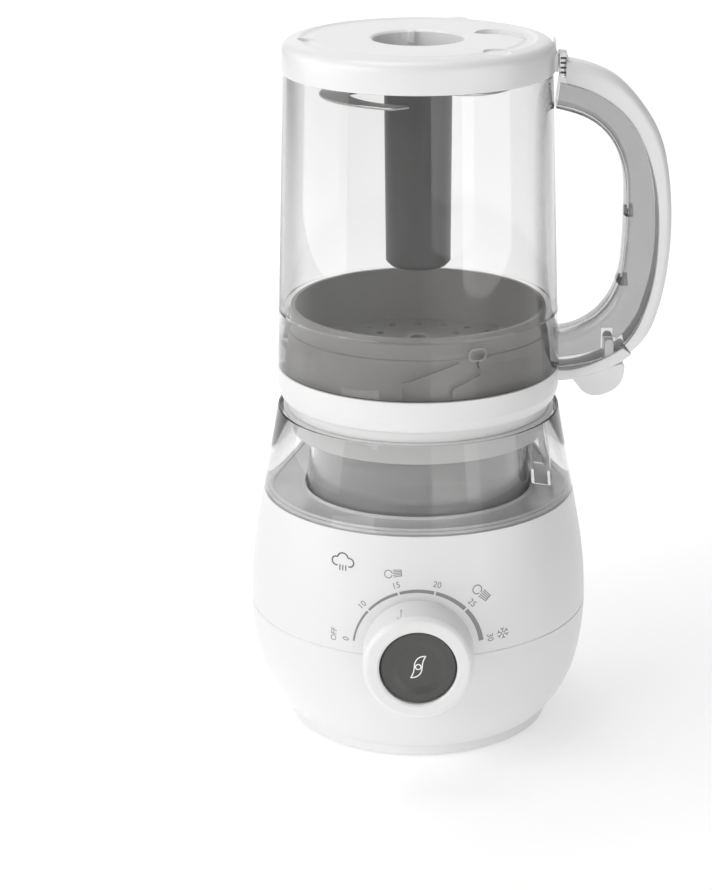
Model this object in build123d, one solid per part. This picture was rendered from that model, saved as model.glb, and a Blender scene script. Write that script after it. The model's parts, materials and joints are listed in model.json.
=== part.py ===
"""Baby food maker: a steamer and blender with a clear jar that stands upside down to steam.

Millimetres, +Z up, origin on the main axis in the plane that the base stands on.
The front, with the timer knob, faces -Y, and the jar handle is at +X.
"""

import os
from math import atan2, cos, degrees, hypot, radians, sin, sqrt, tan

from build123d import *

os.makedirs("parts", exist_ok=True)

# ---------------------------------------------------------------- driving sizes: main unit
belly_radius = 77.9
belly_z = 57.0
shoulder_arc = 203.6
flank_arc = 113.0
flank_tilt = 13.8
lower_arc = 51.0
cone_tilt = 10.33
shell_bottom = 5.5
shell_top = 111.5
tank_top = 151.0
shell_wall = 2.5
tank_wall = 2.2
gap = 0.3

base_stand = 0.5
foot_radius = 54.5
foot_width = 6.0
foot_proud = 0.8
base_floor = 2.2

tower_radius = 49.0
tower_wall = 2.5
seat_plate = 2.0
collar_stand = 1.7
collar_drop = 8.0
boss_radius = 18.6
boss_wall = 2.4
boss_height = 6.0

# ---------------------------------------------------------------- driving sizes: lid, jar, blade unit
lid_radius = 64.0
lid_step = 4.0
lid_plug_height = 5.0
lid_ring_height = 14.6
lid_floor = 2.5
recess_height = 9.5
tray_stand = 5.7
tray_height = 27.1
tray_step = 17.1
tray_lip = 24.1
tray_wall = 2.2
seal_height = 2.0
seal_inset = 1.5
seal_width = 1.8
jar_wall = 2.2
jar_taper = 1.962
jar_height = 132.8
jar_floor = 2.5
cap_height = 14.6
cap_edge = 6.5
cap_wall = 2.6
socket_radius = 20.0
socket_wall = 2.0
hub_length = 84.0
hub_tip_radius = 14.6
hub_top_radius = 15.1
blade_clear = 9.556
blade_drop = 5.0
blade_sheet = 1.4

# ---------------------------------------------------------------- driving sizes: bayonet and handle
lug_count = 3
lug_angle = 29.0
lug_width = 7.2
lug_height = 5.4
lug_lift = 17.2
ramp_rise_per_degree = 0.45
rib_width = 1.4
throat_left = 36.1
throat_right = 14.6
upper_ramp_start = 7.1
upper_ramp_end = 18.6
handle_width = 20.0
handle_wall = 2.2
tongue_stand = 22.4
tongue_width = 4.6
tongue_half_length = 7.5
tongue_height = 12.0
arm_width = 18.0

# ---------------------------------------------------------------- driving sizes: knob, drive and steam
knob_z = 60.5
knob_radius = 24.5
knob_front_radius = 22.9
knob_reach = 20.4
button_radius = 16.7
button_travel = 2.5
timer_shaft_radius = 5.0
stem_radius = 2.5
motor_radius = 31.0
shaft_radius = 4.0
bearing_radius = 8.0
coupling_radius = 9.0
boiler_turn = 168.0
boiler_stand = 1.1
boiler_radius = 19.0
boiler_low = 44.0
boiler_high = 88.0
steam_share = 0.2126
pipe_radius = 4.0
water_stand = 9.8
nipple_radius = 3.0
seal_stand = 7.0
port_half_angle = 11.0
port_stand = 2.6
screw_radius = 1.6
running = 0.05
mount_top = 98.0


# ---------------------------------------------------------------- helpers
def turned(*profile):
    """A body of revolution about the main axis from (radius, height) corners."""
    outline = Polyline(*[(r, 0, z) for r, z in profile], close=True)
    return revolve(make_face(outline), Axis.Z)


def rod(radius, low, high, x=0.0, y=0.0):
    """An upright round rod from height low to height high."""
    return Pos(x, y, (low + high) / 2) * Cylinder(radius, high - low)


def tube(outer, inner, low, high, x=0.0, y=0.0):
    """An upright round tube."""
    return rod(outer, low, high, x, y) - rod(inner, low - 1, high + 1, x, y)


def block(x0, x1, y0, y1, z0, z1):
    """A box between two corners."""
    return Pos((x0 + x1) / 2, (y0 + y1) / 2, (z0 + z1) / 2) * Box(x1 - x0, y1 - y0, z1 - z0)


def rod_y(radius, y0, y1, x=0.0, z=0.0):
    """A round rod that lies along Y."""
    return Pos(x, (y0 + y1) / 2, z) * Rot(90, 0, 0) * Cylinder(radius, y1 - y0)


def turned_y(z, *profile):
    """A body of revolution about the knob's axis from (radius, y) corners."""
    outline = Polyline(*[(r, y, z) for r, y in profile], close=True)
    return revolve(make_face(outline), Axis((0, 0, z), (0, 1, 0)))


def around(count, shape, start=0.0):
    """Copies of a shape spaced evenly about the main axis."""
    return [Rot(0, 0, start + i * 360 / count) * shape for i in range(count)]


def wedge(angle, half, reach, z0, z1):
    """A sector of space about the main axis, for cutting."""
    corners = [(0, 0), (reach, -reach * tan(radians(half))), (reach, reach * tan(radians(half)))]
    slab = extrude(make_face(Polyline(*corners, close=True)), z1 - z0)
    return Rot(0, 0, angle) * Pos(0, 0, z0) * slab


def join(first, *others):
    """One solid from pieces that touch or overlap."""
    whole = first
    for other in others:
        whole = whole + other
    return whole


def save(name, *shapes):
    """Write one node, as a group when it has several solids."""
    solids = [solid for shape in shapes for solid in shape.solids()]
    piece = solids[0] if len(solids) == 1 else Compound(children=solids)
    export_step(piece, f"parts/{name}.step")


# ---------------------------------------------------------------- the side of the main unit
flank_low_r = belly_radius - flank_arc * (1 - cos(radians(flank_tilt)))
flank_low_z = belly_z - flank_arc * sin(radians(flank_tilt))
shoulder_centre = (belly_radius - shoulder_arc, belly_z)
flank_centre = (belly_radius - flank_arc, belly_z)
lower_centre = (
    flank_low_r - lower_arc * cos(radians(flank_tilt)),
    flank_low_z + lower_arc * sin(radians(flank_tilt)),
)


def side_heights(inset):
    """Heights where the lower, flank and shoulder arcs and the cone meet, for an inset side."""
    low = flank_centre[1] - (flank_arc - inset) * sin(radians(flank_tilt))
    high = shoulder_centre[1] + (shoulder_arc - inset) * sin(radians(cone_tilt))
    return low, belly_z, high


def side_radius(z, inset=0.0):
    """Radius of the side at height z, moved inwards by inset."""
    low, middle, high = side_heights(inset)
    if z >= high:
        start = shoulder_centre[0] + (shoulder_arc - inset) * cos(radians(cone_tilt))
        return start - (z - high) * tan(radians(cone_tilt))
    if z >= middle:
        centre, arc = shoulder_centre, shoulder_arc
    elif z >= low:
        centre, arc = flank_centre, flank_arc
    else:
        centre, arc = lower_centre, lower_arc
    return centre[0] + sqrt((arc - inset) ** 2 - (z - centre[1]) ** 2)


def side_slope(z, inset):
    """Direction of the side at height z, upwards."""
    step = 0.01
    return (side_radius(z + step, inset) - side_radius(z - step, inset), 0, 2 * step)


def side_curve(low, high, inset=0.0):
    """Edges that follow the side upwards between two heights."""
    heights = [low] + [h for h in side_heights(inset) if low < h < high] + [high]
    edges = []
    for a, b in zip(heights, heights[1:]):
        stops = [a, (a + b) / 2, b]
        points = [(side_radius(z, inset), 0, z) for z in stops]
        if a >= side_heights(inset)[2] - 1e-6:
            edges.append(Line(points[0], points[-1]))
        else:
            ends = (side_slope(a, inset), side_slope(b, inset))
            edges.append(Spline(*points, tangents=ends))
    return edges


def side_shell(low, high, outer_inset, inner_inset, low_bevel=0.0, high_bevel=0.0):
    """A turned wall that follows the side between two insets, with bevelled outer edges."""
    outer = side_curve(low + low_bevel, high - high_bevel, outer_inset)
    inner = side_curve(low, high, inner_inset)
    corner_top = (side_radius(high, outer_inset) - high_bevel, 0, high)
    corner_low = (side_radius(low, outer_inset) - low_bevel, 0, low)
    edges = [*outer, *inner]
    edges.append(Line(corner_top, inner[-1] @ 1))
    edges.append(Line(corner_low, inner[0] @ 0))
    if high_bevel:
        edges.append(Line(outer[-1] @ 1, corner_top))
    if low_bevel:
        edges.append(Line(outer[0] @ 0, corner_low))
    return revolve(make_face(edges), Axis.Z)


def side_plug(low, high, inset):
    """Everything inside the side between two heights."""
    outer = side_curve(low, high, inset)
    top = Line(outer[-1] @ 1, (0, 0, high))
    axis = Line((0, 0, high), (0, 0, low))
    bottom = Line((0, 0, low), outer[0] @ 0)
    return revolve(make_face([*outer, top, axis, bottom]), Axis.Z)


# ---------------------------------------------------------------- places that follow from the sizes
base_radius = side_radius(shell_bottom) - base_stand
collar_radius = side_radius(tank_top, tank_wall) - collar_stand
seal_ring = side_radius(shell_top) - seal_stand
lid_plug_radius = lid_radius - lid_step
tray_radius = lid_radius - tray_stand
seal_outer = lid_radius - seal_inset
seal_inner = seal_outer - seal_width
boiler_ring = motor_radius + boiler_radius + boiler_stand
lid_plug_wall = 3.5
nozzle_flange = pipe_radius + 3.4
steam_inner = boiler_ring - boiler_radius + pipe_radius
steam_outer = lid_plug_radius - lid_plug_wall - nozzle_flange - gap
steam_ring = steam_inner + (steam_outer - steam_inner) * steam_share
tongue_x = lid_radius + tongue_stand
water_ring = tower_radius + water_stand
seat_top = tank_top
seat_low = seat_top - seat_plate
plug_top = seat_top + lid_plug_height
ring_top = plug_top + lid_ring_height
lid_floor_low = seat_top + recess_height
lid_floor_top = lid_floor_low + lid_floor
jar_rim = ring_top + gap
jar_end = jar_rim + jar_height
jar_floor_low = jar_end - jar_floor
cap_low = jar_end
cap_top = cap_low + cap_height
hub_high = jar_floor_low - 1.4
hub_low = hub_high - hub_length
screw_spots = [45, 135, 225, 315]
tongue_high = ring_top + tongue_height
base_screw_ring = 38.0
seat_screw_ring = tower_radius - 8.0
mount_ring = tower_radius + 1.0


def on_ring(radius, turn):
    """X and Y of a point on a circle about the main axis."""
    return radius * cos(radians(turn)), radius * sin(radians(turn))


boiler_x, boiler_y = on_ring(boiler_ring, boiler_turn)
steam_x, steam_y = on_ring(steam_ring, boiler_turn)
water_x, water_y = on_ring(water_ring, boiler_turn)


def jar_radius(z, inset=0.0):
    """Radius of the tapered jar wall."""
    return lid_radius - (z - jar_rim) * tan(radians(jar_taper)) - inset


cap_edge_radius = jar_radius(jar_end) + 0.5
blade_reach = jar_radius(hub_high - blade_drop, jar_wall) - blade_clear


# ---------------------------------------------------------------- base
def build_base():
    """Base plate with its rim, foot ring and screws, and the cord gland at the back."""
    groove_top = foot_proud + 1.6
    plate_top = foot_proud + base_floor
    plate = rod(base_radius, foot_proud, plate_top)
    rim_inner = side_radius(shell_bottom, shell_wall) - gap
    rim = tube(base_radius, rim_inner - 2.0, foot_proud, shell_bottom)
    collar = tube(rim_inner, rim_inner - 2.0, foot_proud, shell_bottom + 3.0)
    thick = tube(foot_radius + foot_width, foot_radius - foot_width, foot_proud, plate_top + 0.8)
    groove = tube(
        foot_radius + foot_width / 2,
        foot_radius - foot_width / 2,
        foot_proud - 1,
        groove_top,
    )
    plate = join(plate, rim, collar, thick & rod(base_radius, 0, shell_bottom))
    plate = plate - groove
    head = 3.2
    for angle in screw_spots:
        place = Rot(0, 0, angle) * Pos(base_screw_ring, 0, 0)
        plate = plate + place * rod(5.0, foot_proud, plate_top + 2.0)
        plate = plate - place * rod(screw_radius + 0.2, 0, plate_top + 3.0)
        plate = plate - place * rod(head + 0.2, 0, foot_proud + 2.0)
    vents = [
        Rot(0, 0, angle) * block(8.0, 26.0, -1.2, 1.2, 0, plate_top + 1)
        for angle in range(0, 360, 30)
    ]
    for vent in vents:
        plate = plate - vent
    save("base_plate", plate)
    save(
        "foot_ring",
        tube(foot_radius + foot_width / 2, foot_radius - foot_width / 2, 0, groove_top),
    )
    screws = []
    for angle in screw_spots:
        place = Rot(0, 0, angle) * Pos(base_screw_ring, 0, 0)
        shank = rod(screw_radius, foot_proud + 1.0, foot_proud + 15.0)
        screws.append(place * (shank + rod(head, foot_proud + 0.6, foot_proud + 2.0)))
    save("base_screws", *screws)


# ---------------------------------------------------------------- shells
gland_z = 17.0
gland_radius = 6.0
knob_hole = 11.5


def build_shells():
    """The two white shells that meet at the belly."""
    bevel = 0.45
    lower = side_shell(shell_bottom, belly_z, 0, shell_wall, 0, bevel)
    floor_r = side_radius(shell_bottom, shell_wall)
    for angle in screw_spots:
        post_place = Rot(0, 0, angle) * Pos(base_screw_ring, 0, 0)
        post = tube(4.2, screw_radius, foot_proud + base_floor + 2.0, foot_proud + 20.0)
        web = block(3.6, floor_r - 28, -1.0, 1.0, foot_proud + base_floor + 6, foot_proud + 20)
        piece = post_place * (post + web)
        lower = lower + (piece & side_plug(shell_bottom, belly_z, 0.5))
    lower = lower - rod_y(knob_hole, -belly_radius - 5, -40, 0, knob_z)
    lower = lower - rod_y(gland_radius, 40, belly_radius + 5, 0, gland_z)
    save("lower_shell", lower)

    upper = side_shell(belly_z, shell_top, 0, shell_wall, bevel, 0)
    lip = side_shell(belly_z - 5, belly_z + 4, shell_wall + 0.1, shell_wall + 1.6)
    joint = side_shell(belly_z + 1, belly_z + 4, shell_wall - 0.5, shell_wall + 1.6)
    knob_bore = rod_y(knob_hole, -belly_radius - 5, -40, 0, knob_z)
    upper = upper - knob_bore
    lip = lip - knob_bore
    joint = joint - knob_bore
    roof_radius = side_radius(shell_top, 0.5)
    roof = tube(roof_radius, tower_radius + 0.1, shell_top - 2.5, shell_top)
    roof = roof - tube(seal_ring + 1.5, seal_ring - 1.5, shell_top - 1.2, shell_top + 1)
    upper = join(upper, lip, joint, roof)
    upper = upper - rod(nipple_radius + 0.3, shell_top - 5, shell_top + 5, water_x, water_y)
    save("upper_shell", upper)

    body_y = side_radius(gland_z)
    gland = rod_y(gland_radius - 0.05, body_y - 9, body_y + 0.8, 0, gland_z)
    flange = rod_y(gland_radius + 2.2, body_y - 9, body_y - 5.4, 0, gland_z)
    flange = flange & side_plug(shell_bottom, belly_z, shell_wall)
    gland = gland + flange - rod_y(3.6, body_y - 20, body_y + 5, 0, gland_z)
    save("cord_gland", gland)


# ---------------------------------------------------------------- water tank and seat
def build_tank():
    """Clear ring-shaped tank, its core tower, the collar seat and the filler chute."""
    floor_top = shell_top + tank_wall
    outer = side_shell(shell_top, tank_top, 0, tank_wall)
    floor = side_plug(shell_top, floor_top, 0.4) - rod(tower_radius + gap, 0, tank_top)
    inner = tube(tower_radius + gap + tank_wall, tower_radius + gap, shell_top, seat_low - gap)
    nipple = rod(nipple_radius, shell_top - 8, floor_top, water_x, water_y)
    bore = rod(nipple_radius - 1, shell_top - 9, floor_top + 1, water_x, water_y)
    save("water_tank", join(outer, floor, inner, nipple) - bore)

    tower = tube(tower_radius, tower_radius - tower_wall, shell_top - 5.0, seat_low)
    foot = tube(tower_radius + 5, tower_radius - tower_wall, shell_top - 5.0, shell_top - 2.5)
    roof = rod(tower_radius, seat_low - 2.5, seat_low)
    neck = tube(boss_radius - boss_wall - 0.1, 11.5, seat_low - 2.5, seat_low + 5.0)
    tower = join(tower, foot, roof, neck) - rod(11.5, seat_low - 5, seat_low + 10)
    for angle in screw_spots:
        spot = Rot(0, 0, angle) * Pos(mount_ring, 0, 0)
        tower = tower + spot * tube(4.0, screw_radius, mount_top, shell_top - 5.0)
    tower = tower - rod(pipe_radius + 2.0, seat_low - 5, seat_low + 5, steam_x, steam_y)
    for angle in screw_spots:
        spot = Rot(0, 0, angle) * Pos(seat_screw_ring, 0, 0)
        tower = tower - spot * rod(screw_radius, seat_low - 4, seat_low + 2)
    save("tank_core", tower)

    plate_radius = side_radius(seat_low, tank_wall) - 0.6
    plate = tube(plate_radius, boss_radius - boss_wall, seat_low, seat_top)
    boss = tube(boss_radius, boss_radius - boss_wall, seat_low, seat_top + boss_height)
    collar = tube(collar_radius, collar_radius - 1.6, seat_low - collar_drop, seat_top)
    port_inner = tower_radius + gap + tank_wall + port_stand
    port_outer = collar_radius - 0.2
    port = tube(port_outer, port_inner, seat_low - 3, seat_top + 3)
    port = port & wedge(0, port_half_angle, 90, seat_low - 5, seat_top + 5)
    collar = collar - wedge(0, port_half_angle + 3, 90, seat_low - 20, seat_low)
    seat = join(plate, boss, collar) - port
    seat = seat - rod(pipe_radius + 2.0, seat_low - 5, seat_top + 5, steam_x, steam_y)
    for angle in screw_spots:
        spot = Rot(0, 0, angle) * Pos(seat_screw_ring, 0, 0)
        seat = seat - spot * rod(screw_radius + 0.2, seat_low - 4, seat_top + 2)
        seat = seat - spot * rod(3.0, seat_low + 0.8, seat_top + 2)
    save("jar_seat", seat)

    wall = 1.2
    chute = tube(port_outer + wall, port_inner - wall, floor_top + 2.0, seat_low)
    chute = chute & wedge(0, port_half_angle + 1.2, 90, shell_top, tank_top)
    hollow = tube(port_outer, port_inner, floor_top, seat_low + 3)
    chute = chute - (hollow & wedge(0, port_half_angle, 90, shell_top - 5, tank_top + 5))
    save("fill_chute", chute)

    save("tank_seal", tube(seal_ring + 1.5, seal_ring - 1.5, shell_top - 1.2, shell_top))


def seat_screws():
    """The four screws that hold the seat on the core."""
    screws = []
    for angle in screw_spots:
        spot = Rot(0, 0, angle) * Pos(seat_screw_ring, 0, 0)
        shank = rod(screw_radius, seat_low - 2.5, seat_low + 1.0)
        screws.append(spot * (shank + rod(2.8, seat_low + 0.8, seat_top - 0.3)))
    return screws


# ---------------------------------------------------------------- steam side
def build_steam():
    """Boiler with its cover, element and cut-outs, the hose, the pipe and the nozzle."""
    x, y = boiler_x, boiler_y
    element_low = boiler_low - 5.0
    body = rod(boiler_radius, boiler_low, boiler_high, x, y)
    body = body - rod(boiler_radius - 2.5, boiler_low + 4.0, boiler_high + 1, x, y)
    save("boiler_body", body)
    cover = rod(boiler_radius + 1.0, boiler_high, boiler_high + 3.5, x, y)
    cover = cover + rod(pipe_radius - 1.4, boiler_high, boiler_high + 10, steam_x, steam_y)
    cover = cover + rod(nipple_radius, boiler_high, boiler_high + 10, water_x, water_y)
    cover = cover - rod(pipe_radius - 2.2, boiler_high - 1, boiler_high + 12, steam_x, steam_y)
    cover = cover - rod(nipple_radius - 1, boiler_high - 1, boiler_high + 12, water_x, water_y)
    save("boiler_cover", cover)
    element = tube(15.0, 10.0, element_low, boiler_low, x, y)
    prongs = [rod(1.6, element_low - 9, element_low, x + side * 12.5, y) for side in (-1, 1)]
    save("heating_element", join(element, *prongs))
    save("thermostat", rod(7.0, element_low - 6, boiler_low, x, y))
    fuse = rod_y(2.0, y - 8, y + 8, x, element_low - 9)
    save("thermal_fuse", fuse)
    hose_low = boiler_high + 4.5
    hose = tube(nipple_radius + 1.2, nipple_radius, hose_low, shell_top - 3.5, water_x, water_y)
    save("water_hose", hose)
    pipe_low = boiler_high + 4.0
    pipe_high = seat_low - 5.0
    pipe = tube(pipe_radius, pipe_radius - 1.4, pipe_low, pipe_high, steam_x, steam_y)
    save("steam_pipe", pipe)
    nozzle = rod(pipe_radius + 1.9, pipe_high, seat_top, steam_x, steam_y)
    flange = rod(nozzle_flange, seat_top, seat_top + 1.0, steam_x, steam_y)
    cone = rod(pipe_radius + 1.0, seat_top, seat_top + 4.5, steam_x, steam_y)
    nozzle = join(nozzle, flange, cone)
    nozzle = nozzle - rod(pipe_radius - 1.4, pipe_high - 1, seat_top + 9, steam_x, steam_y)
    save("steam_nozzle", nozzle)


# ---------------------------------------------------------------- motor
stack_low = 54.0
stack_high = 82.0
bore_radius = 17.3
upper_bracket_low = 90.0
lower_bracket_low = 31.0
bracket_sheet = 5.0
brush_low = 40.0
brush_high = 45.0
brush_half = 3.0
holder_wall = 1.5
commutator_radius = 9.5
winding_radius = 14.5
winding_height = 5.0
coil_angle = 55.0
slot_angle = 41.0
fan_low = 20.0
fan_high = 29.0
fan_radius = 27.0
fan_sheet = 1.5
coupling_core = 6.6


def build_motor():
    """Stator with two coils, brackets, bearings and brushes that stand still."""
    slots = []
    coils = []
    coil_outer = motor_radius - 4.0
    coil_inner = bore_radius + 0.9
    for side in (0, 180):
        legs = tube(coil_outer + 0.2, coil_inner - 0.2, stack_low - 1, stack_high + 1)
        reach = 2 * motor_radius
        wide = wedge(side, coil_angle + 1, reach, 0, shell_top)
        slots.append(legs & (wide - wedge(side, slot_angle, reach, -1, shell_top + 1)))
        lobe = tube(coil_outer, coil_inner, stack_low - 6, stack_high + 6)
        lobe = lobe & wedge(side, coil_angle, reach, 0, shell_top)
        window = tube(motor_radius, bore_radius, stack_low, stack_high)
        coils.append(lobe - (window & wedge(side, slot_angle + 1, reach, 0, shell_top)))
    stator = tube(motor_radius, bore_radius, stack_low, stack_high)
    for slot in slots:
        stator = stator - slot
    save("motor_stator", stator)
    save("field_coils", *coils)

    top = upper_bracket_low
    upper = rod(15.0, top, top + bracket_sheet)
    for angle in screw_spots:
        arm = block(10.0, mount_ring, -4.0, 4.0, top, top + bracket_sheet)
        pad = rod(5.5, top, top + bracket_sheet, mount_ring, 0)
        hole = rod(screw_radius + 0.3, top - 1, top + bracket_sheet + 1, mount_ring, 0)
        upper = upper + Rot(0, 0, angle) * (arm + pad - hole)
        strut = block(motor_radius - 3.5, motor_radius, -4.0, 4.0, stack_high, top)
        upper = upper + Rot(0, 0, angle) * strut
    upper = upper - rod(bearing_radius, top - 1, top + bracket_sheet + 1)
    save("motor_upper_bracket", upper)
    low = lower_bracket_low
    lower = rod(13.0, low, low + bracket_sheet)
    for angle in (0, 90, 180, 270):
        arm = block(8.0, motor_radius, -4.0, 4.0, low, low + bracket_sheet)
        strut = block(motor_radius - 3.5, motor_radius, -4.0, 4.0, low, stack_low)
        lower = lower + Rot(0, 0, angle) * (arm + strut)
    lower = lower - rod(bearing_radius, low - 1, low + bracket_sheet + 1)
    save("motor_lower_bracket", lower)
    inner = shaft_radius + running
    bearings = [tube(bearing_radius, inner, z, z + bracket_sheet) for z in (low, top)]
    save("motor_bearings", *bearings)
    holders = []
    brushes = []
    for angle in (0, 180):
        side = brush_half + holder_wall
        holder_low, holder_high = brush_low - holder_wall, brush_high + holder_wall
        holder = block(commutator_radius + 2, motor_radius - 3.5, -side, side, holder_low, holder_high)
        inside = motor_radius - 3.5 - holder_wall
        holder = holder - block(8, inside, -brush_half, brush_half, brush_low, brush_high)
        start = commutator_radius + 0.4
        brush = block(start, inside - 2, -brush_half, brush_half, brush_low, brush_high)
        holders.append(Rot(0, 0, angle) * holder)
        brushes.append(Rot(0, 0, angle) * brush)
    save("brush_holders", *holders)
    save("carbon_brushes", *brushes)
    bushes = []
    screws = []
    for angle in screw_spots:
        spot = Rot(0, 0, angle) * Pos(mount_ring, 0, 0)
        bushes.append(spot * tube(5.0, screw_radius + 0.3, top + bracket_sheet, mount_top))
        shank = rod(screw_radius, top - 2, mount_top + 8)
        screws.append(spot * (shank + rod(3.2, top - 2, top)))
    save("motor_bushes", *bushes)
    save("core_screws", *screws, *seat_screws())
    save("coupling_seal", tube(11.5, shaft_radius + gap, seat_low - 2.0, seat_low + 2.0))


def build_rotor():
    """Everything that turns with the motor shaft."""
    save("motor_shaft", rod(shaft_radius, 18.0, seat_top + boss_height))
    core = tube(bore_radius - 0.5, shaft_radius, stack_low, stack_high)
    for angle in range(0, 360, 30):
        core = core - Rot(0, 0, angle) * block(bore_radius - 4.8, bore_radius, -1, 1, 0, shell_top)
    save("armature_core", core)
    windings = [
        tube(winding_radius, shaft_radius, stack_low - winding_height, stack_low),
        tube(winding_radius, shaft_radius, stack_high, stack_high + winding_height),
    ]
    save("armature_windings", *windings)
    save("commutator", tube(commutator_radius, shaft_radius, brush_low - 2, brush_high + 2))
    fan = tube(8.0, shaft_radius, fan_low, fan_high)
    fan = fan + tube(fan_radius, 6.0, fan_low, fan_low + fan_sheet)
    for angle in range(0, 360, 40):
        blade = block(7.0, fan_radius - 0.5, -0.6, 0.6, fan_low + 1, fan_high)
        fan = fan + Rot(0, 0, angle) * blade
    save("cooling_fan", fan)
    low = seat_low + 2.5
    coupling = rod(coupling_core, low, seat_top + boss_height + 1.0)
    for angle in range(0, 360, 60):
        tooth = block(5.0, coupling_radius, -1.7, 1.7, low, seat_top + boss_height + 1.0)
        coupling = coupling + Rot(0, 0, angle) * tooth
    coupling = coupling - rod(shaft_radius, low - 1, seat_top + boss_height)
    save("drive_coupling", coupling)


# ---------------------------------------------------------------- controls
timer_front = belly_radius - 7.9
timer_back = timer_front - 24.0
knob_back = belly_radius + 1.3
knob_front = belly_radius + knob_reach
button_face = knob_front - 1.5
pocket = knob_front - 10.3
pointer_turn = 17.5


def build_controls():
    """Timer and switches inside, then the knob and the push button in its middle."""
    z = knob_z
    body = block(-19, 19, -timer_front, -timer_back, z - 19, z + 19)
    bush = rod_y(knob_hole - gap, -knob_back + 0.4, -timer_front, 0, z)
    timer = body + bush - rod_y(timer_shaft_radius + running, -knob_front, -timer_back + 5, 0, z)
    save("timer_unit", timer)
    bezel = rod_y(21.5, -knob_back + 0.4, -60, 0, z) - side_plug(20, 100, 0)
    save("knob_bezel", bezel - rod_y(knob_hole - gap, -knob_front, -50, 0, z))

    hub = 8.0
    knob = turned_y(
        z,
        (hub, -knob_back),
        (knob_radius, -knob_back),
        (knob_radius - 0.3, -knob_front + 3.0),
        (knob_front_radius + 0.6, -knob_front + 1.2),
        (knob_front_radius - 0.6, -knob_front),
        (button_radius + gap + 0.6, -knob_front),
        (button_radius + gap, -knob_front + 0.6),
        (button_radius + gap, -pocket),
        (hub, -pocket),
    )
    web = rod_y(hub, -pocket, -knob_back, 0, z)
    knob = knob + web - rod_y(timer_shaft_radius, -knob_front, -timer_front, 0, z)
    groove_front, groove_back = -knob_front + 3.4, -knob_front + 12.0
    pointer = block(-1.2, 1.2, groove_front, groove_back, knob_radius - 1.2, knob_radius + 5)
    knob = knob - Pos(0, 0, z) * Rot(0, -pointer_turn, 0) * pointer
    save("timer_knob", knob)
    shaft = rod_y(timer_shaft_radius, -pocket, -timer_back - 1.0, 0, z)
    save("timer_shaft", shaft - rod_y(stem_radius + gap, -knob_front, -timer_back + 5, 0, z))

    cap = turned_y(
        z,
        (0, -button_face + 1.4),
        (11.4, -button_face + 1.4),
        (12.6, -button_face),
        (button_radius - 0.8, -button_face),
        (button_radius, -button_face + 0.8),
        (button_radius, -pocket - button_travel - 1.0),
        (button_radius - 1.8, -pocket - button_travel - 1.0),
        (button_radius - 1.8, -button_face + 3.4),
        (0, -button_face + 3.4),
    )
    stem_end = timer_back - 3.0
    save("blend_button", cap + rod_y(stem_radius, -button_face + 2.4, -stem_end, 0, z))
    coils = [
        turned_y(z, (4.2, -y), (5.6, -y), (5.6, -y + 0.7), (4.2, -y + 0.7))
        for y in (pocket + 0.7, pocket + 2.1, pocket + 3.5, pocket + 4.9)
    ]
    for i in range(3):
        low = -(pocket + 0.7 + 1.4 * i)
        side = 1 if i % 2 else -1
        ends = sorted((4.3 * side, 5.5 * side))
        link = block(*ends, low - 0.7, low, z - 1, z + 1)
        coils[0] = coils[0] + link + coils[i + 1]
    save("button_spring", coils[0])
    switch_front = stem_end - button_travel - 0.4
    switch = block(-8, 8, -switch_front + 0.8, -switch_front + 7.0, z - 6, z + 6)
    save("blend_switch", switch + rod_y(1.5, -switch_front, -switch_front + 0.8, 0, z))
    save("control_board", block(34.0, 35.6, -24, 24, 20, 60))
    save("jar_switch", block(34, 46, -6, 6, seat_low - 13, seat_low - 2.5))


# ---------------------------------------------------------------- jar lid with steam tray
arm_top = [(-4.0, -2.4), (4.1, -2.0), (11.0, -0.4), (22.4, 4.7), (28.0, 8.0)]
arm_low = [(32.4, 5.6), (28.2, 2.4), (16.8, -3.1), (5.3, -6.5), (-4.0, -7.2)]
tab_outline = [(7.0, -5.6), (9.5, -10.5), (14.5, -14.2), (20.5, -13.4), (28.6, -9.7), (30.0, 3.4)]
lug_z = jar_rim + lug_lift - lug_height


def beside_lid(points):
    """Points in the XZ plane from distances outwards and upwards of the lid ring's top edge."""
    return [(lid_radius + out, 0, ring_top + up) for out, up in points]


def plate_xz(corners, width):
    """A plate in the XZ plane beside the lid, centred on Y."""
    face = make_face(Polyline(*beside_lid(corners), close=True))
    return extrude(face, width / 2, dir=(0, 1, 0), both=True)


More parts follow.
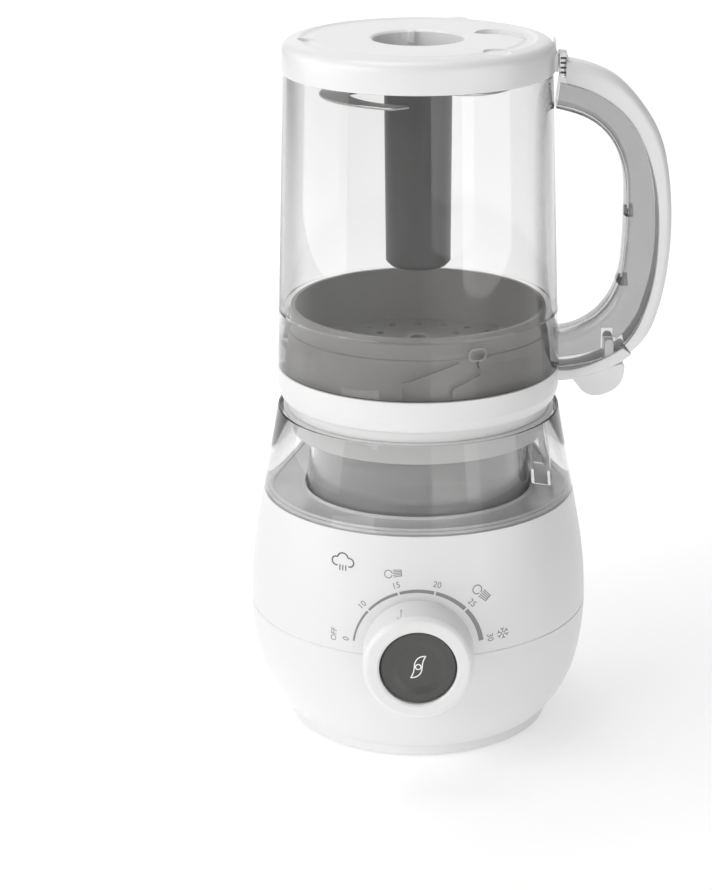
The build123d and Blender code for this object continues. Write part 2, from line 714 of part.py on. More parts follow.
def build_lid():
    """White ring with its arm, tab and tongue, the grey steam tray and the inlet valve."""
    ring = turned(
        (0, lid_floor_low),
        (lid_plug_radius - lid_plug_wall, lid_floor_low),
        (lid_plug_radius - lid_plug_wall, seat_top),
        (lid_plug_radius, seat_top),
        (lid_plug_radius, plug_top),
        (lid_radius - 1.2, plug_top),
        (lid_radius, plug_top + 1.2),
        (lid_radius, ring_top),
        (seal_outer + gap, ring_top),
        (seal_outer + gap, jar_rim - seal_height),
        (seal_inner - gap, jar_rim - seal_height),
        (seal_inner - gap, lid_floor_top),
        (0, lid_floor_top),
    )
    front = arm_top + arm_low
    arm = plate_xz(front, arm_width) - rod(lid_radius - 1.0, seat_top, ring_top + 20)
    tongue = block(
        tongue_x - tongue_width / 2,
        tongue_x + tongue_width / 2,
        -tongue_half_length,
        tongue_half_length,
        ring_top + 1.4,
        tongue_high,
    )
    ring = join(ring, arm, tongue)
    valve_hole = rod(5.0, lid_floor_low - 1, lid_floor_top + 1, steam_x, steam_y)
    save("lid_ring", ring - valve_hole)
    tab = plate_xz(tab_outline, arm_width - 2.4) - plate_xz(front, arm_width + 4)
    save("thumb_tab", max(tab.solids(), key=lambda solid: solid.volume))
    valve = rod(4.9, lid_floor_low - 1.6, lid_floor_top, steam_x, steam_y)
    valve = valve - rod(2.2, lid_floor_low - 3, lid_floor_top - 1.0, steam_x, steam_y)
    slit = block(steam_x - 2, steam_x + 2, steam_y - 0.2, steam_y + 0.2, seat_top, jar_rim)
    save("inlet_valve", valve - slit)

    step_z = jar_rim + tray_step
    lip_z = jar_rim + tray_lip
    tray_top = jar_rim + tray_height
    floor_z = lid_floor_top + 8.0
    base = seal_inner - gap - 0.2
    tray = turned(
        (0, floor_z),
        (tray_radius - tray_wall, floor_z),
        (tray_radius - tray_wall, lid_floor_top),
        (base, lid_floor_top),
        (base, jar_rim - seal_height),
        (tray_radius, jar_rim - seal_height + 1.0),
        (tray_radius, step_z),
        (tray_radius - 0.5, step_z + 0.5),
        (tray_radius - 0.5, lip_z),
        (tray_radius + 0.2, lip_z + 0.6),
        (tray_radius - 0.4, tray_top),
        (tray_radius - tray_wall, tray_top),
        (tray_radius - tray_wall, floor_z + 2.0),
        (0, floor_z + 2.0),
    )
    holes = [rod(1.8, floor_z - 1, floor_z + 3)]
    for ring_radius, count in ((12, 6), (24, 12), (36, 18), (47, 24)):
        for shape in around(count, rod(1.8, floor_z - 1, floor_z + 3, ring_radius, 0)):
            holes.append(shape)
    for hole in holes:
        tray = tray - hole
    tray = tray + tube(5.5, 3.6, floor_z + 1.0, floor_z + 10)
    for i in range(lug_count):
        spot = Rot(0, 0, lug_angle - 90 + i * 360 / lug_count)
        lug = Pos(tray_radius, 0, lug_z + lug_height / 2) * Rot(0, 90, 0) * Cylinder(lug_height / 2, 4)
        wide = block(
            tray_radius - 2,
            tray_radius + 2,
            -(lug_width - lug_height) / 2,
            (lug_width - lug_height) / 2,
            lug_z,
            lug_z + lug_height,
        )
        ends = [Pos(0, side * (lug_width - lug_height) / 2, 0) * lug for side in (-1, 1)]
        piece = join(wide, *ends) & tube(tray_radius + 1.9, tray_radius - 1.0, lug_z - 1, step_z + 9)
        tray = tray + spot * piece
    save("steam_tray", tray)
    save("lid_seal", tube(seal_outer, seal_inner, jar_rim - seal_height, jar_rim))


# ---------------------------------------------------------------- jar
outer_curve = [(2.0, 1.043), (22.4, 0.986), (41.0, 0.825), (49.2, 0.475), (44.7, 0.161), (35.0, 0.044)]
split_curve = [(2.0, 0.968), (14.6, 0.929), (35.2, 0.776), (42.9, 0.483), (38.0, 0.163), (29.0, 0.068)]
inner_curve = [(-3.0, 0.878), (16.3, 0.815), (29.2, 0.663), (30.5, 0.456), (23.7, 0.211), (-2.0, 0.12)]
core_foot = [(22.4, 0.039), (11.0, 0.001), (-1.0, -0.012)]
skin_inset = 2.0


def beside_jar(points):
    """X and Z of handle points from the distance outwards and the share of the jar's height."""
    return [(lid_radius + out, jar_rim + share * jar_height) for out, share in points]


def spline_xz(points):
    """A smooth curve in the XZ plane."""
    return Spline(*[(x, 0, z) for x, z in points])


def moved(points, amount):
    """The same curve moved away from the middle of the finger gap by amount."""
    centre_x, centre_z = lid_radius - 2.0, jar_rim + jar_height / 2
    shifted = []
    for x, z in points:
        reach = hypot(x - centre_x, z - centre_z)
        shifted.append((x + (x - centre_x) / reach * amount, z + (z - centre_z) / reach * amount))
    return shifted


def band(outside, inside, width, foot=()):
    """The solid between two smooth curves, centred on Y."""
    outer = spline_xz(outside)
    inner = spline_xz(inside)
    start = Line(inner @ 0, outer @ 0)
    foot_points = [outer @ 1, *[(x, 0, z) for x, z in foot], inner @ 1]
    end = Polyline(*foot_points)
    face = make_face([outer, end, inner, start])
    return extrude(face, width / 2, dir=(0, 1, 0), both=True)


def ramp_rib(start, end, low, high, inner, outer):
    """A sloping rib on the inside of the jar wall, from angle and height to angle and height."""
    half = (end - start) / 2
    length = 2 * outer * sin(radians(half))
    tilt = degrees(atan2(high - low, length))
    slab = Box(20, hypot(length, high - low) + rib_width, rib_width)
    slab = Pos(outer, 0, (low + high) / 2) * Rot(tilt, 0, 0) * slab
    return Rot(0, 0, (start + end) / 2) * (slab & tube(outer, inner, jar_rim, jar_rim + 30))


def upright_rib(angle, high, inner, outer):
    """An upright rib on the inside of the jar wall."""
    post = block(inner - 5, outer + 5, -rib_width / 2, rib_width / 2, jar_rim, high)
    return Rot(0, 0, angle) * (post & tube(outer, inner, jar_rim, jar_rim + 30))


def build_jar():
    """Clear jar with bayonet ribs, handle core and grip, floor, cap and interlock tongue."""
    wall = turned(
        (jar_radius(jar_rim), jar_rim),
        (jar_radius(jar_end), jar_end),
        (0, jar_end),
        (0, jar_floor_low),
        (jar_radius(jar_floor_low, jar_wall), jar_floor_low),
        (jar_radius(jar_rim, jar_wall), jar_rim),
    )
    rib_inner = tray_radius + 0.8
    rib_outer = jar_radius(lug_z, jar_wall) + 0.8
    upper_heights = (jar_rim + upper_ramp_start, jar_rim + upper_ramp_end)
    for i in range(lug_count):
        lug_at = lug_angle - 90 + i * 360 / lug_count
        track_low = lug_z - 1.04 - rib_width / 2
        lower_start = track_low - ramp_rise_per_degree * throat_right
        lower_end = track_low - ramp_rise_per_degree * 2.0
        ribs = [
            ramp_rib(lug_at - throat_right, lug_at - 2.0, lower_start, lower_end, rib_inner, rib_outer),
            ramp_rib(lug_at - throat_left, lug_at - 5.0, *upper_heights, rib_inner, rib_outer),
            upright_rib(lug_at - throat_left, upper_heights[0], rib_inner, rib_outer),
            upright_rib(lug_at - throat_right, lower_start, rib_inner, rib_outer),
        ]
        for rib in ribs:
            wall = wall + rib
    wall = wall - rod(7.0, jar_floor_low - 1, jar_end + 1)
    save("jar_wall", wall)
    inside = turned(
        (0, jar_rim - 5),
        (jar_radius(jar_rim - 5), jar_rim - 5),
        (jar_radius(jar_end), jar_end),
        (0, jar_end),
    )
    slot_inner = tongue_x - tongue_width / 2 - gap
    slot_outer = hypot(tongue_x + tongue_width / 2, tongue_half_length) + gap
    slot = tube(slot_outer, slot_inner, ring_top - 10, tongue_high + 1.4)
    outer, split, inner = beside_jar(outer_curve), beside_jar(split_curve), beside_jar(inner_curve)
    core_width = handle_width - 2.0
    core = band(split, inner, core_width, beside_jar(core_foot))
    hollow = band(moved(split, 3.0), moved(inner, handle_wall), core_width - 2 * handle_wall)
    floor_cut = block(lid_radius - 4, lid_radius + 28, -15, 15, ring_top - 10, tongue_high + 5.4)
    core = core - (hollow - floor_cut) - inside - slot
    core = core - rod(cap_edge_radius + gap, cap_low, cap_top + 5)
    save("jar_handle_core", max(core.solids(), key=lambda solid: solid.volume))
    grip = band(outer, split, handle_width)
    cavity = band(moved(outer, -skin_inset), moved(split, -6.0), handle_width - 2 * skin_inset)
    grip = grip - cavity - rod(cap_edge_radius + 3.0, cap_low, cap_top + 5)
    save("handle_grip", max(grip.solids(), key=lambda solid: solid.volume))


cap_top_plate = 2.4


def build_cap():
    """White jar base with its drive socket, clip block and interlock tongue."""
    edge = cap_edge
    rim = cap_edge_radius
    shoulder_z = cap_top - edge
    diagonal = edge * sin(radians(45))
    outer = [
        Line((rim, 0, cap_low), (rim, 0, shoulder_z)),
        ThreePointArc(
            (rim, 0, shoulder_z),
            (rim - edge + diagonal, 0, cap_top - edge + diagonal),
            (rim - edge, 0, cap_top),
        ),
        Polyline(
            (rim - edge, 0, cap_top),
            (rim - edge - 1.2, 0, cap_top - 0.5),
            (rim - edge - 3.0, 0, cap_top - 0.5),
            (socket_radius + socket_wall, 0, cap_top - 0.3),
            (socket_radius, 0, cap_top - 0.3),
            (socket_radius, 0, cap_low),
            (socket_radius + socket_wall, 0, cap_low),
            (socket_radius + socket_wall, 0, cap_top - cap_top_plate),
            (rim - edge, 0, cap_top - cap_top_plate),
            (rim - cap_wall, 0, shoulder_z),
            (rim - cap_wall, 0, cap_low),
            (rim, 0, cap_low),
        ),
    ]
    cap = revolve(make_face(outer), Axis.Z)
    key = block(-4.6, -1.8, socket_radius - 2.2, socket_radius + 1, cap_top - 6.0, cap_top - 0.4)
    cap = cap + key
    recess = Pos(-47.0, -2.0, cap_top + 5.4) * Sphere(7.4)
    crescent = tube(45.5, 27.5, cap_top - 1.2, cap_top + 2) & wedge(20, 22, 90, 200, 400)
    cap = cap - recess - crescent
    window = block(rim - 8, rim + 10, -6.0, 6.0, cap_low - 1, cap_low + 7.2)
    cap = cap - window
    save("jar_cap", cap)
    save("cap_clip", block(rim - 3.2, rim + 0.8, -5.7, 5.7, cap_low, cap_low + 7.0))
    tongue = block(rim + 1.0, rim + 4.4, -5.0, 5.0, cap_low - 4.2, cap_low + 8.5)
    save("interlock_tongue", tongue)
    bush = tube(7.0, shaft_radius + running, jar_floor_low - 1.0, jar_end + 2.0)
    bush = bush + tube(9.0, shaft_radius + running, jar_end, jar_end + 2.0)
    save("blade_bush", bush)


# ---------------------------------------------------------------- blade unit
def build_blades():
    """Hub with two sickle blades, its shaft and the cup that the motor drives."""
    hub = turned(
        (shaft_radius, hub_high),
        (hub_top_radius, hub_high),
        (hub_tip_radius, hub_low + 2.0),
        (hub_tip_radius - 2.0, hub_low),
        (0, hub_low),
        (0, hub_low + 3.0),
        (shaft_radius, hub_low + 3.0),
    )
    save("blade_hub", hub)
    save("blade_shaft", rod(shaft_radius, hub_low + 3.0, jar_end + 9.0))
    space = rod(hub_tip_radius, hub_low, hub_high)
    blade = Pos(0, 0, hub_high - blade_drop) * sickle_blade() - hub - space
    save("blades", *around(2, blade))
    low = jar_end + 2.3
    cup = tube(12.0, 9.6, low, cap_top - 2.0) + rod(12.0, low, low + 2.5)
    for angle in range(0, 360, 60):
        cup = cup + Rot(0, 0, angle + 30) * block(7.6, 10.5, -1.6, 1.6, low, cap_top - 2.0)
    save("jar_coupling", cup - rod(shaft_radius, low - 1, jar_end + 9.0))


def sickle_blade():
    """One flat sickle that leaves the hub on the left and curves round to the front."""
    outer_edge = [(0.615, 151.7), (0.911, 190.5), (0.973, 223.3)]
    inner_edge = [(0.766, 225.0), (0.654, 202.5), (0.317, 203.2)]
    front = on_ring(blade_reach, -103.0)
    tip = on_ring(blade_reach - 5.5, -95.0)
    outline = [
        Spline((0, 10.0), *[on_ring(blade_reach * share, turn) for share, turn in outer_edge], front),
        Line(front, tip),
        Spline(tip, *[on_ring(blade_reach * share, turn) for share, turn in inner_edge], (0, -8.0)),
        Line((0, -8.0), (0, 10.0)),
    ]
    return extrude(make_face(outline), blade_sheet)


build_base()
build_shells()
build_tank()
build_steam()
build_motor()
build_rotor()
build_controls()
build_lid()
build_jar()
build_cap()
build_blades()
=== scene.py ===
"""Baby food maker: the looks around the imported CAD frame."""

import json
import math

import bmesh
import bpy
import numpy as np
from mathutils import Matrix, Vector
from mathutils.bvhtree import BVHTree


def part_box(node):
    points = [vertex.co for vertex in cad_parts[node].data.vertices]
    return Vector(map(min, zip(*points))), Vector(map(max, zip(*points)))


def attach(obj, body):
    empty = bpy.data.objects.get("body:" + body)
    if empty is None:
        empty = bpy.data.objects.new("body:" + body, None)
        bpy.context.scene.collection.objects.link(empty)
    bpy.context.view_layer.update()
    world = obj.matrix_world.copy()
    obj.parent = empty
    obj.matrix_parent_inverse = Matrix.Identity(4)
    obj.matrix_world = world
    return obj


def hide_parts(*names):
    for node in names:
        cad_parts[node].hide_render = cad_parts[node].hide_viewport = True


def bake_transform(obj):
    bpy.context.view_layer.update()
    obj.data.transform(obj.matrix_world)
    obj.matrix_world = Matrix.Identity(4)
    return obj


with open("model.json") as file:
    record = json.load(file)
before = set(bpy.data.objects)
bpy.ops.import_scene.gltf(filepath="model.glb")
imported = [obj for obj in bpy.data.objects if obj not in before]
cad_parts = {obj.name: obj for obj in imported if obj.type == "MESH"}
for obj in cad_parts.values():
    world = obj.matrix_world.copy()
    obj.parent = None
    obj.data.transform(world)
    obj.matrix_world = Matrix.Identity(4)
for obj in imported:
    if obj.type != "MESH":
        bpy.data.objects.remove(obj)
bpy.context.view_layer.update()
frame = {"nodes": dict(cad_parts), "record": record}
nodes = frame["nodes"]
MM = 0.001
FINE = 160
CAMERA_DISTANCE = 1.083
CAMERA_HEIGHT = 0.5045
CAMERA_PITCH = 19.1
LENS = 100.4
SENSOR = 36.0
SHIFT = -0.0699


def box_mm(node):
    """A CAD node's lowest and highest corners in millimetres."""
    low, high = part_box(node)
    return [v / MM for v in low], [v / MM for v in high]


# ---------------------------------------------------------------- camera, light and floor
def make_camera():
    """A long lens that looks down on the front, at the photograph's viewing angle."""
    data = bpy.data.cameras.new("camera")
    data.sensor_width = SENSOR
    data.lens = LENS
    data.shift_x = SHIFT
    camera = bpy.data.objects.new("camera", data)
    camera.location = (0.0, -CAMERA_DISTANCE, CAMERA_HEIGHT)
    camera.rotation_euler = (math.radians(90.0 - CAMERA_PITCH), 0.0, 0.0)
    bpy.context.scene.collection.objects.link(camera)
    bpy.context.scene.camera = camera


def fade(tree, source, start, end, low, high):
    """Output of a smooth step of a value: low at start, high at end."""
    step = tree.nodes.new("ShaderNodeMapRange")
    step.interpolation_type = "SMOOTHSTEP"
    step.inputs["From Min"].default_value = start
    step.inputs["From Max"].default_value = end
    step.inputs["To Min"].default_value = low
    step.inputs["To Max"].default_value = high
    tree.links.new(source, step.inputs["Value"])
    return step.outputs["Result"]


def combine(tree, operation, a, b=None):
    """Output of a math node on one or two outputs."""
    node = tree.nodes.new("ShaderNodeMath")
    node.operation = operation
    tree.links.new(a, node.inputs[0])
    if b is not None:
        tree.links.new(b, node.inputs[1])
    return node.outputs["Value"]


def area_light(name, place, target, size, power, glint_only=False):
    """A soft rectangular light that faces a target, or a card that only glossy surfaces show."""
    data = bpy.data.lights.new(name, "AREA")
    data.shape = "RECTANGLE"
    data.size, data.size_y = size
    data.energy = power
    light = bpy.data.objects.new(name, data)
    light.location = place
    direction = Vector(target) - Vector(place)
    light.rotation_euler = direction.to_track_quat("-Z", "Y").to_euler()
    if glint_only:
        light.visible_diffuse = False
        light.visible_transmission = False
    bpy.context.scene.collection.objects.link(light)


def make_lights():
    """Soft key, top and fill lights, two cards for reflections, and a surround that darkens to the right."""
    middle = (0.0, 0.0, 0.16)
    area_light("key", (-1.0, -0.9, 0.8), middle, (0.9, 0.9), 7.6)
    area_light("top", (-0.2, 0.15, 1.3), middle, (0.8, 0.6), 4.4)
    area_light("fill", (0.62, -1.15, 0.45), middle, (0.9, 0.9), 3.2)
    area_light("right_card", (1.0, -0.62, 0.30), middle, (1.0, 1.3), 9.0, True)
    area_light("left_card", (-1.15, -0.12, 0.30), middle, (1.1, 1.3), 9.0, True)
    world = bpy.data.worlds.new("studio")
    world.use_nodes = True
    tree = world.node_tree
    background = tree.nodes["Background"]
    background.inputs["Color"].default_value = (1.0, 1.0, 1.0, 1.0)
    coords = tree.nodes.new("ShaderNodeTexCoord")
    split = tree.nodes.new("ShaderNodeSeparateXYZ")
    tree.links.new(coords.outputs["Generated"], split.inputs["Vector"])
    x, y = split.outputs["X"], split.outputs["Y"]
    left = fade(tree, x, -0.60, -0.97, 0.0, 0.38)
    across = fade(tree, x, 0.30, 0.85, 0.36, 0.02)
    behind = fade(tree, y, 0.05, 0.55, 0.0, 0.40)
    total = combine(tree, "ADD", combine(tree, "ADD", left, across), behind)
    tree.links.new(total, background.inputs["Strength"])
    bpy.context.scene.world = world
    bpy.context.scene.view_settings.view_transform = "Standard"


def make_floor():
    """A plain pale floor that curves up behind, and glows softly, most of all behind the object."""
    material, tree, shader = new_material("pale_floor")
    shader.inputs["Base Color"].default_value = (0.86, 0.86, 0.86, 1.0)
    shader.inputs["Emission Color"].default_value = (1.0, 1.0, 1.0, 1.0)
    shader.inputs["Roughness"].default_value = 0.7
    coords = add_bump(tree, shader, 40.0, 0.02, 0.0002)
    split = tree.nodes.new("ShaderNodeSeparateXYZ")
    tree.links.new(coords.outputs["Object"], split.inputs["Vector"])
    across = fade(tree, combine(tree, "ABSOLUTE", split.outputs["X"]), 1.4, 0.7, 0.0, 1.0)
    backwards = fade(tree, split.outputs["Y"], 0.0, 0.8, 0.31, 0.62)
    tree.links.new(combine(tree, "MULTIPLY", across, backwards), shader.inputs["Emission Strength"])
    bend = 1.0
    bend_start = 2.2
    front = -2.5
    half_width = 4.0
    wall_height = 4.0
    steps = 12
    outline = [(front, 0.0), (bend_start, 0.0)]
    for i in range(1, steps + 1):
        angle = math.radians(90 * i / steps)
        outline.append((bend_start + bend * math.sin(angle), bend * (1 - math.cos(angle))))
    outline.append((bend_start + bend, wall_height))
    shape = bmesh.new()
    rows = [[shape.verts.new((x, y, z)) for x in (-half_width, half_width)] for y, z in outline]
    for a, b in zip(rows, rows[1:]):
        shape.faces.new((a[0], a[1], b[1], b[0]))
    floor = mesh_object("floor", shape, material)


# ---------------------------------------------------------------- materials
EDGE_START = 0.42
EDGE_FULL = 0.74


def new_material(name):
    """A node material with its Principled shader."""
    material = bpy.data.materials.new(name)
    material.use_nodes = True
    return material, material.node_tree, material.node_tree.nodes["Principled BSDF"]


def add_bump(tree, shader, scale, strength, distance, detail=4.0):
    """Fine moulded texture on a shader's normal."""
    coords = tree.nodes.new("ShaderNodeTexCoord")
    noise = tree.nodes.new("ShaderNodeTexNoise")
    noise.inputs["Scale"].default_value = scale
    noise.inputs["Detail"].default_value = detail
    bump = tree.nodes.new("ShaderNodeBump")
    bump.inputs["Strength"].default_value = strength
    bump.inputs["Distance"].default_value = distance
    tree.links.new(coords.outputs["Object"], noise.inputs["Vector"])
    tree.links.new(noise.outputs["Fac"], bump.inputs["Height"])
    tree.links.new(bump.outputs["Normal"], shader.inputs["Normal"])
    return coords


def vary_roughness(tree, shader, coords, scale, low, high):
    """Slow changes of gloss over a surface, as handling leaves on plastic."""
    noise = tree.nodes.new("ShaderNodeTexNoise")
    noise.inputs["Scale"].default_value = scale
    spread = tree.nodes.new("ShaderNodeMapRange")
    spread.inputs["From Min"].default_value = 0.1
    spread.inputs["From Max"].default_value = 0.9
    spread.inputs["To Min"].default_value = low
    spread.inputs["To Max"].default_value = high
    tree.links.new(coords.outputs["Object"], noise.inputs["Vector"])
    tree.links.new(noise.outputs["Fac"], spread.inputs["Value"])
    tree.links.new(spread.outputs["Result"], shader.inputs["Roughness"])


def vary_colour(tree, shader, coords, color, amount, scale):
    """Slight unevenness in a moulded colour."""
    noise = tree.nodes.new("ShaderNodeTexNoise")
    noise.inputs["Scale"].default_value = scale
    noise.inputs["Detail"].default_value = 3.0
    mix = tree.nodes.new("ShaderNodeMix")
    mix.data_type = "RGBA"
    mix.inputs["A"].default_value = (*[c * (1 - amount) for c in color], 1.0)
    mix.inputs["B"].default_value = (*[min(1.0, c * (1 + amount)) for c in color], 1.0)
    tree.links.new(coords.outputs["Object"], noise.inputs["Vector"])
    tree.links.new(noise.outputs["Fac"], mix.inputs["Factor"])
    tree.links.new(mix.outputs["Result"], shader.inputs["Base Color"])


def plastic(name, color, low, high, bump=0.04, grain=900.0):
    """Moulded opaque plastic."""
    material, tree, shader = new_material(name)
    shader.inputs["IOR"].default_value = 1.5
    coords = add_bump(tree, shader, grain, bump, 0.0002)
    vary_roughness(tree, shader, coords, 22.0, low, high)
    vary_colour(tree, shader, coords, color, 0.006, 9.0)
    return material


def clear_plastic(name, face, edge, rough, ior=1.45):
    """Clear smoky plastic that bends light, with a tint that darkens where it is seen edge on: partly the
    longer path through the smoky plastic, partly painted shade for the dark edge band that reflection gives.
    """
    material, tree, shader = new_material(name)
    weight = tree.nodes.new("ShaderNodeLayerWeight")
    weight.inputs["Blend"].default_value = 0.5
    mix = tree.nodes.new("ShaderNodeMix")
    mix.data_type = "RGBA"
    mix.inputs["A"].default_value = (face, face, face, 1.0)
    mix.inputs["B"].default_value = (edge, edge, edge, 1.0)
    # Painted edge shade: the colour darkens towards a grazing view, partly for the longer path through the
    # plastic.
    depth = fade(tree, weight.outputs["Facing"], EDGE_START, EDGE_FULL, 0.0, 1.0)
    tree.links.new(depth, mix.inputs["Factor"])
    tree.links.new(mix.outputs["Result"], shader.inputs["Base Color"])
    shader.inputs["Transmission Weight"].default_value = 1.0
    shader.inputs["IOR"].default_value = ior
    coords = add_bump(tree, shader, 60.0, 0.02, 0.0004, 2.0)
    vary_roughness(tree, shader, coords, 30.0, rough, rough + 0.02)
    return material


def metal(name, color, low, high):
    """Bright or brushed metal."""
    material, tree, shader = new_material(name)
    shader.inputs["Metallic"].default_value = 1.0
    coords = add_bump(tree, shader, 400.0, 0.05, 0.0001)
    vary_roughness(tree, shader, coords, 40.0, low, high)
    vary_colour(tree, shader, coords, color, 0.04, 60.0)
    return material


MATERIALS = {
    "white_shell": plastic("white_plastic", (0.80, 0.80, 0.80), 0.28, 0.32),
    "clear_smoke": clear_plastic("clear_smoky_plastic", 0.87, 0.46, 0.005),
    "frosted_seat": plastic("translucent_seat", (0.72, 0.72, 0.715), 0.3, 0.36),
    "grey_core": plastic("grey_core_plastic", (0.60, 0.60, 0.595), 0.14, 0.20),
    "tray_grey": plastic("tray_plastic", (0.40, 0.39, 0.375), 0.28, 0.34, 0.03),
    "dark_grey": plastic("dark_grey_plastic", (0.066, 0.065, 0.063), 0.34, 0.40, 0.001, 1400.0),
    "steel": metal("bright_steel", (0.60, 0.60, 0.59), 0.16, 0.26),
    "rubber_black": plastic("black_rubber", (0.02, 0.02, 0.02), 0.7, 0.85, 0.2),
    "silicone": plastic("soft_silicone", (0.52, 0.52, 0.51), 0.45, 0.6),
    "aluminium_boiler": metal("cast_aluminium", (0.60, 0.61, 0.62), 0.35, 0.5),
    "copper": metal("enamelled_copper", (0.55, 0.25, 0.12), 0.3, 0.4),
    "iron_core": metal("laminated_iron", (0.25, 0.26, 0.28), 0.4, 0.55),
    "carbon": plastic("carbon", (0.02, 0.02, 0.02), 0.6, 0.7),
    "black_plastic": plastic("black_plastic", (0.02, 0.02, 0.02), 0.4, 0.5),
    "board_green": plastic("board_green", (0.02, 0.10, 0.04), 0.3, 0.4),
    "bush_white": plastic("acetal", (0.7, 0.7, 0.68), 0.3, 0.4),
}
GREY_PRINT = plastic("grey_print", (0.27, 0.27, 0.27), 0.5, 0.6)
DARK_PRINT = plastic("dark_print", (0.11, 0.11, 0.11), 0.5, 0.6)
WHITE_PRINT = plastic("white_print", (0.92, 0.92, 0.92), 0.5, 0.6)
TANK_CLEAR = clear_plastic("clear_tank_plastic", 0.97, 0.78, 0.005, 1.40)
TANK_FLOOR = plastic("pale_tank_floor", (0.88, 0.88, 0.88), 0.2, 0.3)
HANDLE_CLEAR = clear_plastic("clear_handle_plastic", 0.60, 0.30, 0.02, 1.40)


def dress_nodes():
    """Give every CAD node the material of its slot."""
    for part in frame["record"]["subparts"]:
        node = nodes[part["node"]]
        node.data.materials.clear()
        node.data.materials.append(MATERIALS[part["material_slot"]])


# ---------------------------------------------------------------- mesh helpers
def mesh_object(name, shape, material, smooth_angle=None):
    """An object from a bmesh, with its normals outwards."""
    bmesh.ops.recalc_face_normals(shape, faces=shape.faces)
    mesh = bpy.data.meshes.new(name)
    shape.to_mesh(mesh)
    shape.free()
    mesh.materials.append(material)
    piece = bpy.data.objects.new(name, mesh)
    bpy.context.scene.collection.objects.link(piece)
    mesh.polygons.foreach_set("use_smooth", [True] * len(mesh.polygons))
    if smooth_angle is not None:
        mesh.set_sharp_from_angle(angle=math.radians(smooth_angle))
    return piece


def square(left, right, low, high, *radius):
    """Corners of a rectangle, each with a rounding radius if one is given."""
    return [(a, b, *radius) for a, b in ((left, low), (right, low), (right, high), (left, high))]


def rounded(corners, steps=6):
    """A closed outline from (a, b, radius) corners, each turned into an arc."""
    outline = []
    count = len(corners)
    for i, (a, b, radius) in enumerate(corners):
        here = Vector((a, b))
        before = Vector(corners[i - 1][:2]) - here
        after = Vector(corners[(i + 1) % count][:2]) - here
        if radius <= 0 or before.length == 0 or after.length == 0:
            outline.append((a, b))
            continue
        half = before.angle(after) / 2
        cut = min(radius / math.tan(half), before.length * 0.49, after.length * 0.49)
        radius = cut * math.tan(half)
        centre = here + (before.normalized() + after.normalized()).normalized() * (radius / math.sin(half))
        start = here + before.normalized() * cut - centre
        end = here + after.normalized() * cut - centre
        sweep = math.atan2(start.x * end.y - start.y * end.x, start.dot(end))
        for k in range(steps + 1):
            turn = sweep * k / steps
            outline.append((
                centre.x + start.x * math.cos(turn) - start.y * math.sin(turn),
                centre.y + start.x * math.sin(turn) + start.y * math.cos(turn),
            ))
    return outline


def lathe(name, outline, material, sharp=35.0, place=None):
    """A turned piece from a closed (radius, height) outline in millimetres."""
    shape = bmesh.new()
    rings = []
    for radius, height in outline:
        if radius < 1e-6:
            rings.append([shape.verts.new((0.0, 0.0, height * MM))])
            continue
        ring = []
        for i in range(FINE):
            angle = 2 * math.pi * i / FINE
            point = (radius * math.cos(angle), radius * math.sin(angle), height)
            ring.append(shape.verts.new([v * MM for v in point]))
        rings.append(ring)
    for a, b in zip(rings, rings[1:] + rings[:1]):
        if len(a) == 1 and len(b) == 1:
            continue
        for i in range(FINE):
            j = (i + 1) % FINE
            if len(a) == 1:
                shape.faces.new((a[0], b[i], b[j]))
            elif len(b) == 1:
                shape.faces.new((a[i], b[0], a[j]))
            else:
                shape.faces.new((a[i], b[i], b[j], a[j]))
    if place is not None:
        shape.transform(place)
    return mesh_object(name, shape, material, sharp)


def curve_points(points, steps=8):
    """Points along a natural cubic curve through the given points."""
    table = np.array(points, dtype=float)
    count = len(table)
    gaps = np.linalg.norm(np.diff(table, axis=0), axis=1)
    matrix = np.eye(count)
    right = np.zeros_like(table)
    for i in range(1, count - 1):
        matrix[i, i - 1] = gaps[i - 1]
        matrix[i, i] = 2 * (gaps[i - 1] + gaps[i])
        matrix[i, i + 1] = gaps[i]
        slope = (table[i + 1] - table[i]) / gaps[i] - (table[i] - table[i - 1]) / gaps[i - 1]
        right[i] = 6 * slope
    bend = np.linalg.solve(matrix, right)
    result = []
    for i in range(count - 1):
        gap = gaps[i]
        last = 1 if i == count - 2 else 0
        for k in range(steps + last):
            s = gap * k / steps
            value = (bend[i] * (gap - s) ** 3 + bend[i + 1] * s ** 3) / (6 * gap)
            value = value + (table[i] / gap - bend[i] * gap / 6) * (gap - s)
            value = value + (table[i + 1] / gap - bend[i + 1] * gap / 6) * s
            result.append(tuple(value))
    return result


def loft(name, sections, material, sharp=40.0):
    """A closed skin over sections that have the same number of points, in millimetres."""
    shape = bmesh.new()
    rows = [[shape.verts.new([v * MM for v in point]) for point in section] for section in sections]
    for a, b in zip(rows, rows[1:]):
        for i in range(len(a)):
            j = (i + 1) % len(a)
            shape.faces.new((a[i], a[j], b[j], b[i]))
    shape.faces.new(rows[0])
    shape.faces.new(rows[-1])
    return mesh_object(name, shape, material, sharp)


def slab(name, outline, low, high, material, bevel=0.0, plane="XY", sharp=35.0):
    """A flat piece of an outline between two heights, with rounded edges, in millimetres."""
    shape = bmesh.new()
    if plane == "XZ":
        corners = [shape.verts.new((a * MM, low * MM, b * MM)) for a, b in outline]
        push = Vector((0, (high - low) * MM, 0))
    else:
        corners = [shape.verts.new((a * MM, b * MM, low * MM)) for a, b in outline]
        push = Vector((0, 0, (high - low) * MM))
    face = shape.faces.new(corners)
    grown = bmesh.ops.extrude_face_region(shape, geom=[face])
    moved = [item for item in grown["geom"] if isinstance(item, bmesh.types.BMVert)]
    bmesh.ops.translate(shape, verts=moved, vec=push)
    piece = mesh_object(name, shape, material, sharp)
    if bevel:
        tool = piece.modifiers.new("bevel", "BEVEL")
        tool.width = bevel * MM
        tool.segments = 4
        tool.limit_method = "ANGLE"
        tool.angle_limit = math.radians(50)
    return piece


